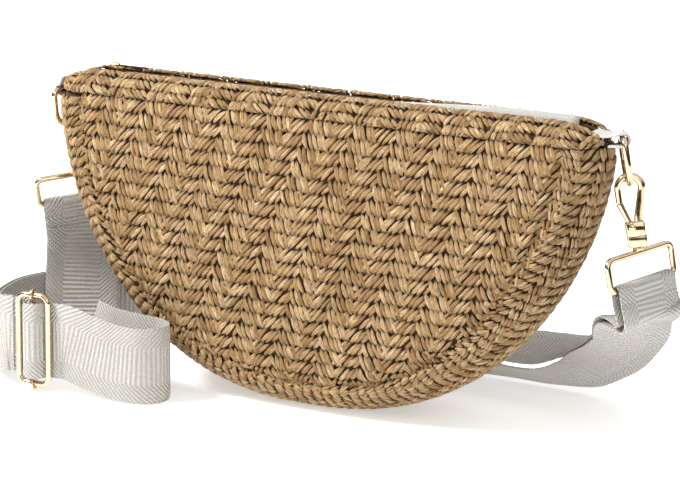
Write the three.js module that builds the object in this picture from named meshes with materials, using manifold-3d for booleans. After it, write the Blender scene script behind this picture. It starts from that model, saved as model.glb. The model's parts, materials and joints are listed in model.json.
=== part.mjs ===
// Half-moon crossbody purse: a woven straw bag that zips along its straight top, hung from a webbing
// strap by two swivel snap hooks. Millimetres, +X along the zip, +Y to the back, +Z up. The origin is
// the middle of the flat patch the bag stands on.
import * as THREE from 'three';
import { mergeVertices } from 'three/addons/utils/BufferGeometryUtils.js';
import Module from 'manifold-3d';

const wasm = await Module();
wasm.setup();

// ---- Driving dimensions -------------------------------------------------------------------------
const gap = 0.3; // air left between pieces that touch

const panelHalfWidth = 131; // half the front panel's width along its top seam
const panelTop = 142; // height of the panel's straight top seam
const panelBottom = 15; // height of the lowest point of the panel's curved seam
const outlineFullness = 2.4; // how square the lower corners of the half moon are
const outlineDrop = 1.6; // how soon its sides leave the vertical
const depthTop = 36; // from front seam to back seam, at the top
const depthBottom = 62; // and at the bottom
const strawThickness = 2.6;
const panelPuff = 5; // how far the middle of a panel stands out
const gussetBulgeTop = 16; // how far the gusset stands out from the seam
const gussetBulgeBottom = 17;
const liningThickness = 0.8;
const liningClearance = 1.2;

const bandHeight = 10; // the straw band between a panel and the zip
const bandCornerStart = 120; // where the band's top begins to round down to the bag's end
const mouthHalfWidth = 5.2; // from the zip's middle to a band's edge

const zipEnd = 130; // half the length of the zip's tapes
const tapeThickness = 0.8;
const tapeDrop = 3.8; // from a band's top down to the tape's top
const tapeInnerEdge = 2.6;
const tapeOuterEdge = 9;
const toothPitch = 4;
const toothLength = 1.7;
const toothHeight = 2.4;
const teethStart = -123.6;
const teethEnd = 126;
const sliderRest = -121; // the zip slider's middle, with the zip closed
const sliderLength = 12;
const sliderWidth = 8.6;
const sliderPlate = 1.4;
const pullLength = 20;
const pullWidth = 5;
const pullThickness = 1.2;

const tabWidth = 13;
const tabThickness = 1.2;
const tabRootDrop = 1.7; // from the bands' top down to the tab's sewn root
const ringWire = 1.6; // radius of the D-ring's wire
const ringHalfWidth = 10.5; // to the middle of the wire
const ringDrop = 21; // from the straight bar down to the bow's lowest point
const hookWire = 1.6;
const hookTopRadius = 5.6;
const hookLength = 15.5; // from the middle of the hook's bow down to the top of its block
const blockHeight = 12;
const blockWidth = 10;
const blockDepth = 7;
const gateThickness = 2.6;
const pinRadius = 1;
const postRadius = 1.5;
const postHeadRadius = 2.3;
const loopWire = 1.5;
const loopWidth = 43; // between the middles of the end wires
const loopHeight = 15;
const loopCorner = 3.4;

const webWidth = 38;
const webThickness = 1.6;
const sliderFrameWidth = 17; // strap slider: between the middles of its long bars
const sliderFrameHeight = 45;
const sliderFrameWire = 1.5;
const sliderBarRadius = 1.3;
const sliderFrameCorner = 4;
const curlWire = 0.8; // the middle bar's ends, curled round the frame
const sliderFrameAt = new THREE.Vector3(-128.5, -64, 26.2);

// ---- Finishes -----------------------------------------------------------------------------------
const straw = { color: 0xc9a876, roughness: 0.85, metalness: 0 };
const cotton = { color: 0xcfc8bb, roughness: 0.95, metalness: 0 };
const canvas = { color: 0xd2cec6, roughness: 0.9, metalness: 0 };
const webbing = { color: 0xd9d4cb, roughness: 0.85, metalness: 0 };
const gold = { color: 0xd8b98a, roughness: 0.22, metalness: 1 };

const bag = new THREE.Group();

function addMesh(name, geometry, finish, parent = bag) {
  const mesh = new THREE.Mesh(geometry, new THREE.MeshStandardMaterial(finish));
  mesh.name = name;
  parent.add(mesh);
  return mesh;
}

// ---- Shape helpers ------------------------------------------------------------------------------
const vector = (x, y, z) => new THREE.Vector3(x, y, z);

function signedVolume(positions, index) {
  const [a, b, c] = [vector(0, 0, 0), vector(0, 0, 0), vector(0, 0, 0)];
  let sum = 0;
  for (let i = 0; i < index.length; i += 3) {
    a.fromArray(positions, 3 * index[i]);
    b.fromArray(positions, 3 * index[i + 1]);
    c.fromArray(positions, 3 * index[i + 2]);
    sum += a.dot(b.cross(c)) / 6;
  }
  return sum;
}

// A closed body through rings of points. Point j of a ring lies across from point count - 1 - j, so
// that a strip of quads closes each end. A closed path joins its last ring to its first.
function solidFromRings(rings, closedPath = false) {
  const count = rings[0].length;
  const total = rings.length;
  const positions = rings.flat().flatMap((p) => [p.x, p.y, p.z]);
  const index = [];
  for (let i = 0; i < (closedPath ? total : total - 1); i += 1) {
    const near = i * count;
    const far = ((i + 1) % total) * count;
    for (let j = 0; j < count; j += 1) {
      const next = (j + 1) % count;
      index.push(near + j, near + next, far + next, near + j, far + next, far + j);
    }
  }
  if (!closedPath) {
    const lastRing = (total - 1) * count;
    for (let j = 0; j < count / 2 - 1; j += 1) {
      const [a, b, c, d] = [j, j + 1, count - 2 - j, count - 1 - j];
      index.push(a, c, b, a, d, c);
      index.push(lastRing + a, lastRing + b, lastRing + c, lastRing + a, lastRing + c, lastRing + d);
    }
  }
  if (signedVolume(positions, index) < 0) index.reverse();
  const geometry = new THREE.BufferGeometry();
  geometry.setAttribute('position', new THREE.Float32BufferAttribute(positions, 3));
  geometry.setIndex(index);
  geometry.computeVertexNormals();
  return geometry;
}

// A shell between an outer and an inner grid of points with the same rows and columns.
function shell(outer, inner) {
  return solidFromRings(outer.map((row, i) => [...row, ...[...inner[i]].reverse()]));
}

// Round wire along points that lie in one plane.
function planarWire(points, planeNormal, radius, sides, closedPath) {
  const rings = points.map((point, i) => {
    const before = points[closedPath ? (i + points.length - 1) % points.length : Math.max(i - 1, 0)];
    const after = points[closedPath ? (i + 1) % points.length : Math.min(i + 1, points.length - 1)];
    const tangent = after.clone().sub(before).normalize();
    const side = planeNormal.clone().cross(tangent).normalize();
    return Array.from({ length: sides }, (_, k) => {
      const angle = (2 * Math.PI * (k + 0.5)) / sides;
      return point
        .clone()
        .addScaledVector(side, radius * Math.cos(angle))
        .addScaledVector(planeNormal, radius * Math.sin(angle));
    });
  });
  return solidFromRings(rings, closedPath);
}

// Points of an arc in the XZ plane, from one angle to another in degrees.
function arcPoints(x, z, radius, from, to, steps) {
  return Array.from({ length: steps + 1 }, (_, k) => {
    const angle = THREE.MathUtils.degToRad(from + ((to - from) * k) / steps);
    return vector(x + radius * Math.cos(angle), 0, z + radius * Math.sin(angle));
  });
}

// The middle line of a rounded rectangle in the XZ plane, from its middle out.
function roundedRectangle(width, height, corner, steps = 4) {
  const x = width / 2 - corner;
  const z = height / 2 - corner;
  return [
    ...arcPoints(x, z, corner, 0, 90, steps),
    ...arcPoints(-x, z, corner, 90, 180, steps),
    ...arcPoints(-x, -z, corner, 180, 270, steps),
    ...arcPoints(x, -z, corner, 270, 360, steps),
  ];
}

// The direction of travel at one station of a band.
function tangentAt(stations, i) {
  const before = stations[Math.max(i - 1, 0)].at;
  const after = stations[Math.min(i + 1, stations.length - 1)].at;
  return after.clone().sub(before).normalize();
}

// Flat band along stations { at, across, along }: at is the middle of the band, across its width
// direction and along its direction of travel, where that isn't read from the neighbours.
function bandSolid(stations, width, thickness) {
  const rings = stations.map(({ at, across, along }, i) => {
    const tangent = along ?? tangentAt(stations, i);
    const side = across.clone().addScaledVector(tangent, -across.dot(tangent)).normalize();
    const normal = tangent.clone().cross(side);
    return [[1, 1], [-1, 1], [-1, -1], [1, -1]].map(([s, n]) =>
      at.clone().addScaledVector(side, (s * width) / 2).addScaledVector(normal, (n * thickness) / 2));
  });
  return solidFromRings(rings);
}

// Evenly spaced stations on a smooth line through rows of [x, y, z, width direction x, y, z].
function smoothStations(rows, steps) {
  const centres = new THREE.CatmullRomCurve3(rows.map((r) => vector(r[0], r[1], r[2])));
  const widths = new THREE.CatmullRomCurve3(rows.map((r) => vector(r[3], r[4], r[5])));
  return Array.from({ length: steps + 1 }, (_, k) => ({
    at: centres.getPoint(k / steps),
    across: widths.getPoint(k / steps).normalize(),
    along: centres.getTangent(k / steps),
  }));
}

// The second layer of a doubled band: lies apart from the first, and opens from it by an angle
// about the first layer's upper edge.
function secondLayer(stations, apart, opening) {
  return stations.map(({ at, across, along }, i) => {
    const share = i / (stations.length - 1);
    const turned = across.clone().applyAxisAngle(along, opening(share));
    const edge = at.clone().addScaledVector(across, webWidth / 2);
    const normal = along.clone().cross(across).normalize();
    return {
      at: edge.addScaledVector(normal, apart(share)).addScaledVector(turned, -webWidth / 2),
      across: turned,
      along,
    };
  });
}

function manifoldOf(geometry) {
  const bare = geometry.clone();
  bare.deleteAttribute('normal');
  if (bare.getAttribute('uv')) bare.deleteAttribute('uv');
  const merged = mergeVertices(bare, 1e-4);
  return new wasm.Manifold(new wasm.Mesh({
    numProp: 3,
    vertProperties: new Float32Array(merged.getAttribute('position').array),
    triVerts: new Uint32Array(merged.getIndex().array),
  }));
}

function geometryOf(solid) {
  const { vertProperties, triVerts } = solid.getMesh();
  const geometry = new THREE.BufferGeometry();
  geometry.setAttribute('position', new THREE.BufferAttribute(new Float32Array(vertProperties), 3));
  geometry.setIndex(new THREE.BufferAttribute(new Uint32Array(triVerts), 1));
  geometry.computeVertexNormals();
  return geometry;
}

const box = (x, y, z, at) => new THREE.BoxGeometry(x, y, z).translate(at.x, at.y, at.z);
const postZ = (radius, height, at, sides = 16) =>
  new THREE.CylinderGeometry(radius, radius, height, sides).rotateX(Math.PI / 2).translate(at.x, at.y, at.z);
const pinY = (radius, length, at, sides = 16) =>
  new THREE.CylinderGeometry(radius, radius, length, sides).translate(at.x, at.y, at.z);

// ---- Straw shell --------------------------------------------------------------------------------
// The share t runs from 0 at the top seam to 1 at the lowest point of the curved seam.
const seamHeight = (t) => panelTop - (panelTop - panelBottom) * t;
const seamHalfWidth = (t) => panelHalfWidth * (1 - t ** outlineDrop) ** (1 / outlineFullness);
const seamHalfDepth = (t) => (depthTop + (depthBottom - depthTop) * (1 - (1 - t) ** 1.5)) / 2;
const gussetBulge = (t) => gussetBulgeTop + (gussetBulgeBottom - gussetBulgeTop) * t;
const easedShare = (k, steps, end) => end * Math.sin((Math.PI / 2) * (k / steps));

function panelSurface(facing, inset) {
  const rows = 12;
  const columns = 16;
  return Array.from({ length: rows + 1 }, (_, i) => {
    const t = easedShare(i, rows, 0.997);
    const half = seamHalfWidth(t);
    return Array.from({ length: columns + 1 }, (_, j) => {
      const across = -1 + (2 * j) / columns;
      const puff = panelPuff * (1 - across ** 2) * (1 - (2 * t - 1) ** 2);
      return vector(half * across, facing * (seamHalfDepth(t) + puff - inset), seamHeight(t));
    });
  });
}

addMesh('front_panel', shell(panelSurface(-1, 0), panelSurface(-1, strawThickness)), straw);
addMesh('back_panel', shell(panelSurface(1, 0), panelSurface(1, strawThickness)), straw);

// The curved seam from the right end, round the bottom, to the left end: place and outward direction.
function seamLine(steps) {
  const shares = Array.from({ length: steps + 1 }, (_, k) => easedShare(k, steps, 1));
  const right = shares.map((t) => ({ t, x: seamHalfWidth(Math.min(t, 1)), z: seamHeight(t) }));
  const left = right.slice(0, -1).reverse().map(({ t, x, z }) => ({ t, x: -x, z }));
  const line = [...right, ...left];
  return line.map((point, i) => {
    const before = line[Math.max(i - 1, 0)];
    const after = line[Math.min(i + 1, line.length - 1)];
    const along = new THREE.Vector2(after.x - before.x, after.z - before.z).normalize();
    return { ...point, outX: -along.y, outZ: along.x };
  });
}

function gussetSurface(inset, floor) {
  const columns = 8;
  return seamLine(16).map(({ t, x, z, outX, outZ }) => {
    const halfDepth = seamHalfDepth(t) - inset;
    return Array.from({ length: columns + 1 }, (_, j) => {
      const angle = -Math.PI / 2 + (Math.PI * j) / columns;
      const out = gap + (gussetBulge(t) - inset) * Math.cos(angle);
      return vector(x + out * outX, halfDepth * Math.sin(angle), Math.max(z + out * outZ, floor));
    });
  });
}

addMesh('gusset', shell(gussetSurface(0, 0), gussetSurface(strawThickness, strawThickness)), straw);

// One straw band on each side of the zip, from the panel's top seam over to the zip's edge. Its ends
// follow the gusset's top and round down onto it.
function bandSurface(facing, inset) {
  const cornerSpan = panelHalfWidth + gussetBulgeTop - bandCornerStart;
  const endX = panelHalfWidth + gussetBulgeTop * 0.9;
  const columns = 28;
  const rows = 5;
  const baseZ = panelTop + gap;
  return Array.from({ length: columns + 1 }, (_, i) => {
    const x = -endX * Math.cos((Math.PI * i) / columns);
    const past = Math.max(Math.abs(x) - panelHalfWidth, 0) / gussetBulgeTop;
    const baseY = (depthTop / 2) * Math.sqrt(1 - past ** 2);
    const corner = Math.max(Math.abs(x) - bandCornerStart, 0) / cornerSpan;
    const height = bandHeight * Math.sqrt(1 - corner ** 2);
    return Array.from({ length: rows + 1 }, (_, j) => {
      const angle = ((Math.PI / 2) * j) / rows;
      const y = mouthHalfWidth + (baseY - mouthHalfWidth - inset * 0.7) * Math.cos(angle);
      return vector(x, facing * y, baseZ + (height - inset) * Math.sin(angle));
    });
  });
}

addMesh('top_band_front', shell(bandSurface(-1, 0), bandSurface(-1, strawThickness)), straw);
addMesh('top_band_rear', shell(bandSurface(1, 0), bandSurface(1, strawThickness)), straw);

// ---- Lining: a thin open bag just inside the straw ----------------------------------------------
// Each level is a rounded rectangle in plan; the floor level closes to a small flat.
function liningRing(t, inset) {
  const half = Math.max(seamHalfWidth(t) - liningClearance - inset, 4);
  const depth = seamHalfDepth(t) - strawThickness - liningClearance - inset;
  const corner = Math.min(8, half / 2);
  const outline = roundedRectangle(2 * half, 2 * depth, corner, 3);
  return outline.map((p) => vector(p.x, p.z, seamHeight(t)));
}

const liningLevels = 11;
const liningBottom = 0.97;
const outerLining = Array.from({ length: liningLevels + 1 }, (_, k) =>
  liningRing(easedShare(k, liningLevels, liningBottom), 0));
const innerLining = Array.from({ length: liningLevels }, (_, k) =>
  liningRing(easedShare(k, liningLevels, liningBottom), liningThickness));

function cupSolid(outer, inner) {
  const count = outer[0].length;
  const rings = [...[...outer].reverse(), ...inner];
  const bottomOuter = rings[0];
  const bottomInner = rings[rings.length - 1];
  const positions = rings.flat().flatMap((p) => [p.x, p.y, p.z]);
  const middle = (ring) => ring.reduce((sum, p) => sum.add(p), vector(0, 0, 0)).divideScalar(count);
  positions.push(...middle(bottomOuter).toArray(), ...middle(bottomInner).toArray());
  const index = [];
  for (let i = 0; i < rings.length - 1; i += 1) {
    for (let j = 0; j < count; j += 1) {
      const next = (j + 1) % count;
      const [a, b, c, d] = [i * count + j, i * count + next, (i + 1) * count + next, (i + 1) * count + j];
      index.push(a, b, c, a, c, d);
    }
  }
  const centreOuter = rings.length * count;
  const lastRing = (rings.length - 1) * count;
  for (let j = 0; j < count; j += 1) {
    const next = (j + 1) % count;
    index.push(centreOuter, next, j);
    index.push(centreOuter + 1, lastRing + j, lastRing + next);
  }
  if (signedVolume(positions, index) < 0) index.reverse();
  const geometry = new THREE.BufferGeometry();
  geometry.setAttribute('position', new THREE.Float32BufferAttribute(positions, 3));
  geometry.setIndex(index);
  geometry.computeVertexNormals();
  return geometry;
}

addMesh('lining', cupSolid(outerLining, innerLining), cotton);

// ---- Zip ----------------------------------------------------------------------------------------
const zipTop = panelTop + gap + bandHeight;
const tapeTop = zipTop - tapeDrop;
const teethTop = tapeTop - tapeThickness / 2 + toothHeight / 2;
const teethBottom = teethTop - toothHeight;

for (const [side, facing] of [['front', -1], ['rear', 1]]) {
  const middle = (facing * (tapeInnerEdge + tapeOuterEdge)) / 2;
  const tape = box(2 * zipEnd, tapeOuterEdge - tapeInnerEdge, tapeThickness,
    vector(0, middle, tapeTop - tapeThickness / 2));
  addMesh(`zip_tape_${side}`, tape, canvas);
}

// One row of teeth: a rail with a tooth every pitch, the rear row half a pitch on.
function teethRow(facing) {
  const railOuter = tapeInnerEdge - gap;
  const railInner = 1.2;
  const tip = railInner - gap;
  const start = teethStart + (facing > 0 ? toothPitch / 2 : 0);
  const outline = new THREE.Shape();
  outline.moveTo(teethStart, facing * railOuter);
  outline.lineTo(teethStart, facing * railInner);
  for (let x = start + (toothPitch - toothLength) / 2; x + toothLength < teethEnd; x += toothPitch) {
    outline.lineTo(x, facing * railInner);
    outline.lineTo(x, -facing * tip);
    outline.lineTo(x + toothLength, -facing * tip);
    outline.lineTo(x + toothLength, facing * railInner);
  }
  outline.lineTo(teethEnd, facing * railInner);
  outline.lineTo(teethEnd, facing * railOuter);
  return new THREE.ExtrudeGeometry(outline, { depth: toothHeight, bevelEnabled: false })
    .translate(0, 0, teethBottom);
}

addMesh('zip_teeth_front', teethRow(-1), canvas);
addMesh('zip_teeth_rear', teethRow(1), canvas);

const stopHeight = 0.9;
const topStopX = sliderRest - sliderLength / 2 - gap - 1;
for (const [side, facing] of [['front', -1], ['rear', 1]]) {
  const at = vector(topStopX, facing * (tapeInnerEdge + 1.2), tapeTop + gap + stopHeight / 2);
  addMesh(`zip_top_stop_${side}`, box(1.6, 2, stopHeight, at), gold);
}
const bottomStopAt = vector(teethEnd + gap + 1.2, 0, tapeTop + gap + stopHeight / 2);
addMesh('zip_bottom_stop', box(2.4, 2 * tapeInnerEdge + 2, stopHeight, bottomStopAt), gold);

// Zip slider: two plates joined by a post ahead of the teeth, and an arch that holds the pull.
const plateBottom = teethTop + gap;
const plateTop = plateBottom + sliderPlate;
const archHalf = 3;
const archHeight = 5;
const archWire = 1;
const archDepth = 1.6;
const archCorner = 1;
const archSink = 0.2; // how far the arch's feet sink into the plate
const pullBarRadius = 0.65;
const pullAxisZ = plateTop - archSink + archHeight - archWire - gap - pullBarRadius;

function roundedPlate(length, width, thickness, corner, z) {
  const outline = new THREE.Shape();
  const [x, y] = [length / 2, width / 2];
  outline.moveTo(-x + corner, -y);
  outline.lineTo(x - corner, -y);
  outline.absarc(x - corner, -y + corner, corner, -Math.PI / 2, 0);
  outline.absarc(x - corner, y - corner, corner, 0, Math.PI / 2);
  outline.absarc(-x + corner, y - corner, corner, Math.PI / 2, Math.PI);
  outline.absarc(-x + corner, -y + corner, corner, Math.PI, 1.5 * Math.PI);
  return new THREE.ExtrudeGeometry(outline, { depth: thickness, bevelEnabled: false, curveSegments: 4 })
    .translate(0, 0, z);
}

function archSolid() {
  const outline = new THREE.Shape();
  outline.moveTo(-archHalf, 0);
  outline.lineTo(-archHalf, archHeight - archCorner);
  outline.absarc(-archHalf + archCorner, archHeight - archCorner, archCorner, Math.PI, Math.PI / 2, true);
  outline.absarc(archHalf - archCorner, archHeight - archCorner, archCorner, Math.PI / 2, 0, true);
  outline.lineTo(archHalf, 0);
  outline.lineTo(archHalf - archWire, 0);
  outline.lineTo(archHalf - archWire, archHeight - archWire);
  outline.lineTo(-archHalf + archWire, archHeight - archWire);
  outline.lineTo(-archHalf + archWire, 0);
  return new THREE.ExtrudeGeometry(outline, { depth: archDepth, bevelEnabled: false, curveSegments: 3 })
    .rotateX(Math.PI / 2)
    .translate(0, archDepth / 2, plateTop - archSink);
}

const postLength = 1.4;
const dividerWidth = 1.6;
const plateCorner = 2.6;
const postX = teethStart - gap - postLength / 2 - sliderRest;
const lowerPlateZ = teethBottom - gap - sliderPlate;
const sliderPost = box(postLength, dividerWidth, plateBottom - lowerPlateZ,
  vector(postX, 0, (plateBottom + lowerPlateZ) / 2));
const zipSlider = manifoldOf(roundedPlate(sliderLength, sliderWidth, sliderPlate, plateCorner, plateBottom))
  .add(manifoldOf(roundedPlate(sliderLength, sliderWidth, sliderPlate, plateCorner, lowerPlateZ)))
  .add(manifoldOf(sliderPost))
  .add(manifoldOf(archSolid()));
const zipSliderGroup = new THREE.Group();
zipSliderGroup.position.x = sliderRest;
bag.add(zipSliderGroup);
addMesh('zip_slider', geometryOf(zipSlider), gold, zipSliderGroup);

// Pull: a bar through the arch, two arms beside it, and a tapered leaf.
const armInner = archDepth / 2 + gap;
const armOuter = pullWidth / 2;
const leafStart = Math.hypot(archHalf, archHeight) + gap;
const armLength = leafStart + 0.4;
const leafTaper = 0.5; // how much narrower the leaf is each side at its tip
const leafHoleRadius = 1;
const tipRadius = pullWidth / 2 - leafTaper;
const tipX = pullLength - tipRadius;
const pullLeaf = new THREE.Shape();
pullLeaf.moveTo(leafStart, -pullWidth / 2);
pullLeaf.absarc(tipX, 0, tipRadius, -Math.PI / 2, Math.PI / 2);
pullLeaf.lineTo(leafStart, pullWidth / 2);
const leafHole = new THREE.Path();
leafHole.absarc(tipX - leafHoleRadius, 0, leafHoleRadius, 0, 2 * Math.PI, true);
pullLeaf.holes.push(leafHole);
const leafShape = { depth: pullThickness, bevelEnabled: false, curveSegments: 8 };
const leaf = new THREE.ExtrudeGeometry(pullLeaf, leafShape).translate(0, 0, -pullThickness / 2);
const armOf = (facing) => box(armLength + pullBarRadius, armOuter - armInner, pullThickness,
  vector((armLength - pullBarRadius) / 2, (facing * (armInner + armOuter)) / 2, 0));
const zipPull = manifoldOf(leaf)
  .add(manifoldOf(armOf(-1)))
  .add(manifoldOf(armOf(1)))
  .add(manifoldOf(pinY(pullBarRadius, 2 * armOuter - 0.2, vector(0, 0, 0), 10)));
const zipPullGroup = new THREE.Group();
zipPullGroup.position.set(sliderRest, 0, pullAxisZ);
bag.add(zipPullGroup);
addMesh('zip_pull', geometryOf(zipPull), gold, zipPullGroup);

// ---- Hanging hardware: D-ring, snap hook, gate and swivel loop ----------------------------------
// Each chain has a frame of its own: +z back up the chain, x along the ring's straight bar, and the
// origin in the middle of that bar.
const linkClearance = 0.4;
const hookTopZ = -ringDrop + ringWire + hookWire + linkClearance; // middle of the hook's wire at its top
const hookBowZ = hookTopZ - hookTopRadius; // middle of the bow's curve
const blockTopZ = hookBowZ - hookLength;
const blockBottomZ = blockTopZ - blockHeight;
const loopTopZ = blockBottomZ - gap - loopWire - 0.8; // the collar sits between block and loop
const loopBottomZ = loopTopZ - loopHeight;
const pinZ = blockTopZ - 2.4;
const gatePinX = -1.6;
const gateTopX = -hookTopRadius;
const gateTopZ = hookBowZ - 6;
const slotWidth = gateThickness + 2 * gap; // the gate's slot in the block
const slotDepth = 5.4;
const slotReach = 3.6; // from the slot's middle towards the spine
const slotMiddle = gatePinX - 1.2;
const pocketFloor = 2.6; // from the block's lower face up to the pocket for the post's head
const pocketHeight = 2.2;
const headHeight = 1.4;
const collarRadius = 2.6;
const collarHeight = 1.2;

function dRing() {
  const corner = 2.4;
  const bowZ = -(ringDrop - ringHalfWidth);
  return planarWire([
    ...arcPoints(ringHalfWidth - corner, -corner, corner, 0, 90, 4),
    ...arcPoints(-ringHalfWidth + corner, -corner, corner, 90, 180, 4),
    ...arcPoints(0, bowZ, ringHalfWidth, 180, 360, 14),
  ], vector(0, 1, 0), ringWire, 10, true);
}

// The hook: a bow on a straight spine that ends in a slotted block. The block holds the gate's pin
// and, below it, a pocket in which the swivel post's head turns.
function hookBody() {
  const line = [
    vector(1.6, 0, blockTopZ - 2),
    vector(2.2, 0, blockTopZ + 2),
    ...arcPoints(0, hookBowZ, hookTopRadius, 0, 180, 12),
    vector(gateTopX, 0, gateTopZ),
  ];
  const middle = (blockTopZ + blockBottomZ) / 2;
  return manifoldOf(planarWire(line, vector(0, 1, 0), hookWire, 10, false))
    .add(manifoldOf(box(blockWidth, blockDepth, blockHeight, vector(0, 0, middle))))
    .subtract(manifoldOf(box(2 * slotReach, slotWidth, 2 * slotDepth,
      vector(slotMiddle, 0, blockTopZ))))
    .subtract(manifoldOf(pinY(pinRadius + gap / 2, blockDepth + 2, vector(gatePinX, 0, pinZ))))
    .subtract(manifoldOf(postZ(postRadius + gap, 2 * pocketFloor, vector(0, 0, blockBottomZ))))
    .subtract(manifoldOf(postZ(postHeadRadius + gap, pocketHeight,
      vector(0, 0, blockBottomZ + pocketFloor + pocketHeight / 2 - 0.1))));
}

// The gate: a bar from the pin up to the hook's nose.
function gate() {
  const top = gateTopZ - 2 * gap;
  const eyeRadius = gateThickness / 2 + 0.7;
  const bar = planarWire([vector(gatePinX, 0, pinZ), vector(gateTopX, 0, top)],
    vector(0, 1, 0), gateThickness / 2, 10, false);
  return manifoldOf(bar)
    .add(manifoldOf(pinY(eyeRadius, gateThickness - 0.4, vector(gatePinX, 0, pinZ))))
    .subtract(manifoldOf(pinY(pinRadius + gap / 2, gateThickness + 2, vector(gatePinX, 0, pinZ))));
}

// The rectangular strap loop with the post and head that turn in the hook's block.
function strapLoop() {
  const frame = roundedRectangle(loopWidth, loopHeight, loopCorner)
    .map((p) => p.add(vector(0, 0, (loopTopZ + loopBottomZ) / 2)));
  const headZ = blockBottomZ + pocketFloor + pocketHeight / 2;
  return manifoldOf(planarWire(frame, vector(0, 1, 0), loopWire, 10, true))
    .add(manifoldOf(postZ(postRadius, headZ - loopTopZ, vector(0, 0, (headZ + loopTopZ) / 2))))
    .add(manifoldOf(postZ(postHeadRadius, headHeight, vector(0, 0, headZ))))
    .add(manifoldOf(postZ(collarRadius, collarHeight, vector(0, 0, blockBottomZ - gap - collarHeight / 2))));
}

// Webbing folded over the loop's lower bar, with legs of two lengths.
function strapFold(frontLeg, backLeg) {
  const radius = loopWire + gap + webThickness / 2;
  const around = Array.from({ length: 9 }, (_, k) => {
    const angle = (Math.PI * k) / 8;
    return vector(0, -radius * Math.cos(angle), loopBottomZ + radius * Math.sin(angle));
  });
  const stations = [
    vector(0, -radius, loopBottomZ - frontLeg),
    ...around,
    vector(0, radius, loopBottomZ - backLeg),
  ];
  return bandSolid(stations.map((at) => ({ at, across: vector(1, 0, 0) })), webWidth, webThickness);
}

const chains = [
  {
    side: 'left',
    bar: vector(-150, 2, 141),
    swivel: vector(-155, 18, 88.5),
    barAngle: 80,
    hookTurn: 60,
    loopTurn: -36,
    slack: 1.4,
    frontLeg: 6,
    backLeg: 24,
    rootX: -139,
  },
  {
    side: 'right',
    bar: vector(153.5, 0, 146),
    swivel: vector(163.5, 0, 94),
    barAngle: -62,
    hookTurn: 90,
    loopTurn: -48,
    slack: 0,
    frontLeg: 6,
    backLeg: 6,
    rootX: 139,
  },
];

for (const chain of chains) {
  const back = chain.bar.clone().sub(chain.swivel).normalize();
  const angle = THREE.MathUtils.degToRad(chain.barAngle);
  const level = vector(Math.cos(angle), Math.sin(angle), 0);
  const x = level.clone().addScaledVector(back, -level.dot(back)).normalize();
  const y = back.clone().cross(x);
  chain.group = new THREE.Group();
  chain.group.position.copy(chain.bar);
  chain.group.quaternion.setFromRotationMatrix(new THREE.Matrix4().makeBasis(x, y, back));
  bag.add(chain.group);
  const hookGroup = new THREE.Group();
  hookGroup.rotation.z = THREE.MathUtils.degToRad(chain.hookTurn);
  hookGroup.position.z = chain.slack;
  chain.group.add(hookGroup);
  const loopGroup = new THREE.Group();
  loopGroup.rotation.z = THREE.MathUtils.degToRad(chain.loopTurn);
  loopGroup.position.z = chain.slack;
  chain.group.add(loopGroup);
  chain.loopGroup = loopGroup;

  // The tab: a strip sewn to the bag's end, folded round the ring's straight bar.
  const wrap = ringWire + 2 * gap + tabThickness / 2;
  const endward = Math.sign(chain.rootX);
  const outward = y.clone().multiplyScalar(Math.sign(y.x) * endward);
  const round = Array.from({ length: 9 }, (_, k) => {
    const turn = Math.PI / 2 - (Math.PI * k) / 8;
    const reach = outward.clone().multiplyScalar(wrap * Math.cos(turn));
    return chain.bar.clone().add(reach).addScaledVector(back, wrap * Math.sin(turn));
  });
  const depthWise = vector(0, Math.sign(x.y), 0);
  const rootZ = zipTop - tabRootDrop;
  const tailAt = chain.bar.clone().addScaledVector(back, -wrap - 0.6);
  tailAt.x = endward * (panelHalfWidth + gussetBulgeTop + 2);
  const tabStations = [
    { at: vector(chain.rootX, 0, rootZ), across: depthWise },
    { at: vector(chain.rootX + endward * 8, 0, rootZ - 0.6), across: depthWise },
    ...round.map((at) => ({ at, across: x })),
    { at: tailAt, across: x },
  ];
  addMesh(`tab_${chain.side}`, bandSolid(tabStations, tabWidth, tabThickness), canvas);

  addMesh(`d_ring_${chain.side}`, dRing(), gold, chain.group);
  addMesh(`hook_body_${chain.side}`, geometryOf(hookBody()), gold, hookGroup);
  addMesh(`hook_gate_${chain.side}`, geometryOf(gate()), gold, hookGroup);
  const pinAt = vector(gatePinX, 0, pinZ);
  addMesh(`hook_pin_${chain.side}`, pinY(pinRadius, blockDepth - 0.4, pinAt), gold, hookGroup);
  addMesh(`strap_loop_${chain.side}`, geometryOf(strapLoop()), gold, loopGroup);
  addMesh(`strap_fold_${chain.side}`, strapFold(chain.frontLeg, chain.backLeg), webbing, loopGroup);
}

// ---- Webbing strap ------------------------------------------------------------------------------
// From the left loop the strap drops to the floor as one layer, makes a loop in front of the bag and
// threads the strap slider. From there it is doubled: round the left, along the floor behind the bag
// and up to the right loop. Rows are [x, y, z, width direction x, y, z] along the middle of the band.
function addBand(name, stations, thickness = webThickness) {
  addMesh(name, bandSolid(stations, webWidth, thickness), webbing);
}

const webUp = [0, 0, 1];
const threadBehind = sliderFrameWire + gap + webThickness / 2 + 0.2;
const foldRadius = sliderBarRadius + gap + webThickness / 2;
const threadFront = foldRadius + webThickness + gap + 0.2;
const halfFrame = sliderFrameWidth / 2;
const threadRow = (u, v) => [sliderFrameAt.x + u, sliderFrameAt.y + v, sliderFrameAt.z, ...webUp];

bag.updateMatrixWorld(true);
const legRadius = loopWire + gap + webThickness / 2;
// A row on the line of a fold's leg, some way below its end.
function legRow(chain, facing, leg, below, flip) {
  const at = chain.loopGroup.localToWorld(vector(0, facing * legRadius, loopBottomZ - leg - below));
  const across = vector(flip, 0, 0).transformDirection(chain.loopGroup.matrixWorld);
  return [...at.toArray(), ...across.toArray()];
}

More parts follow.
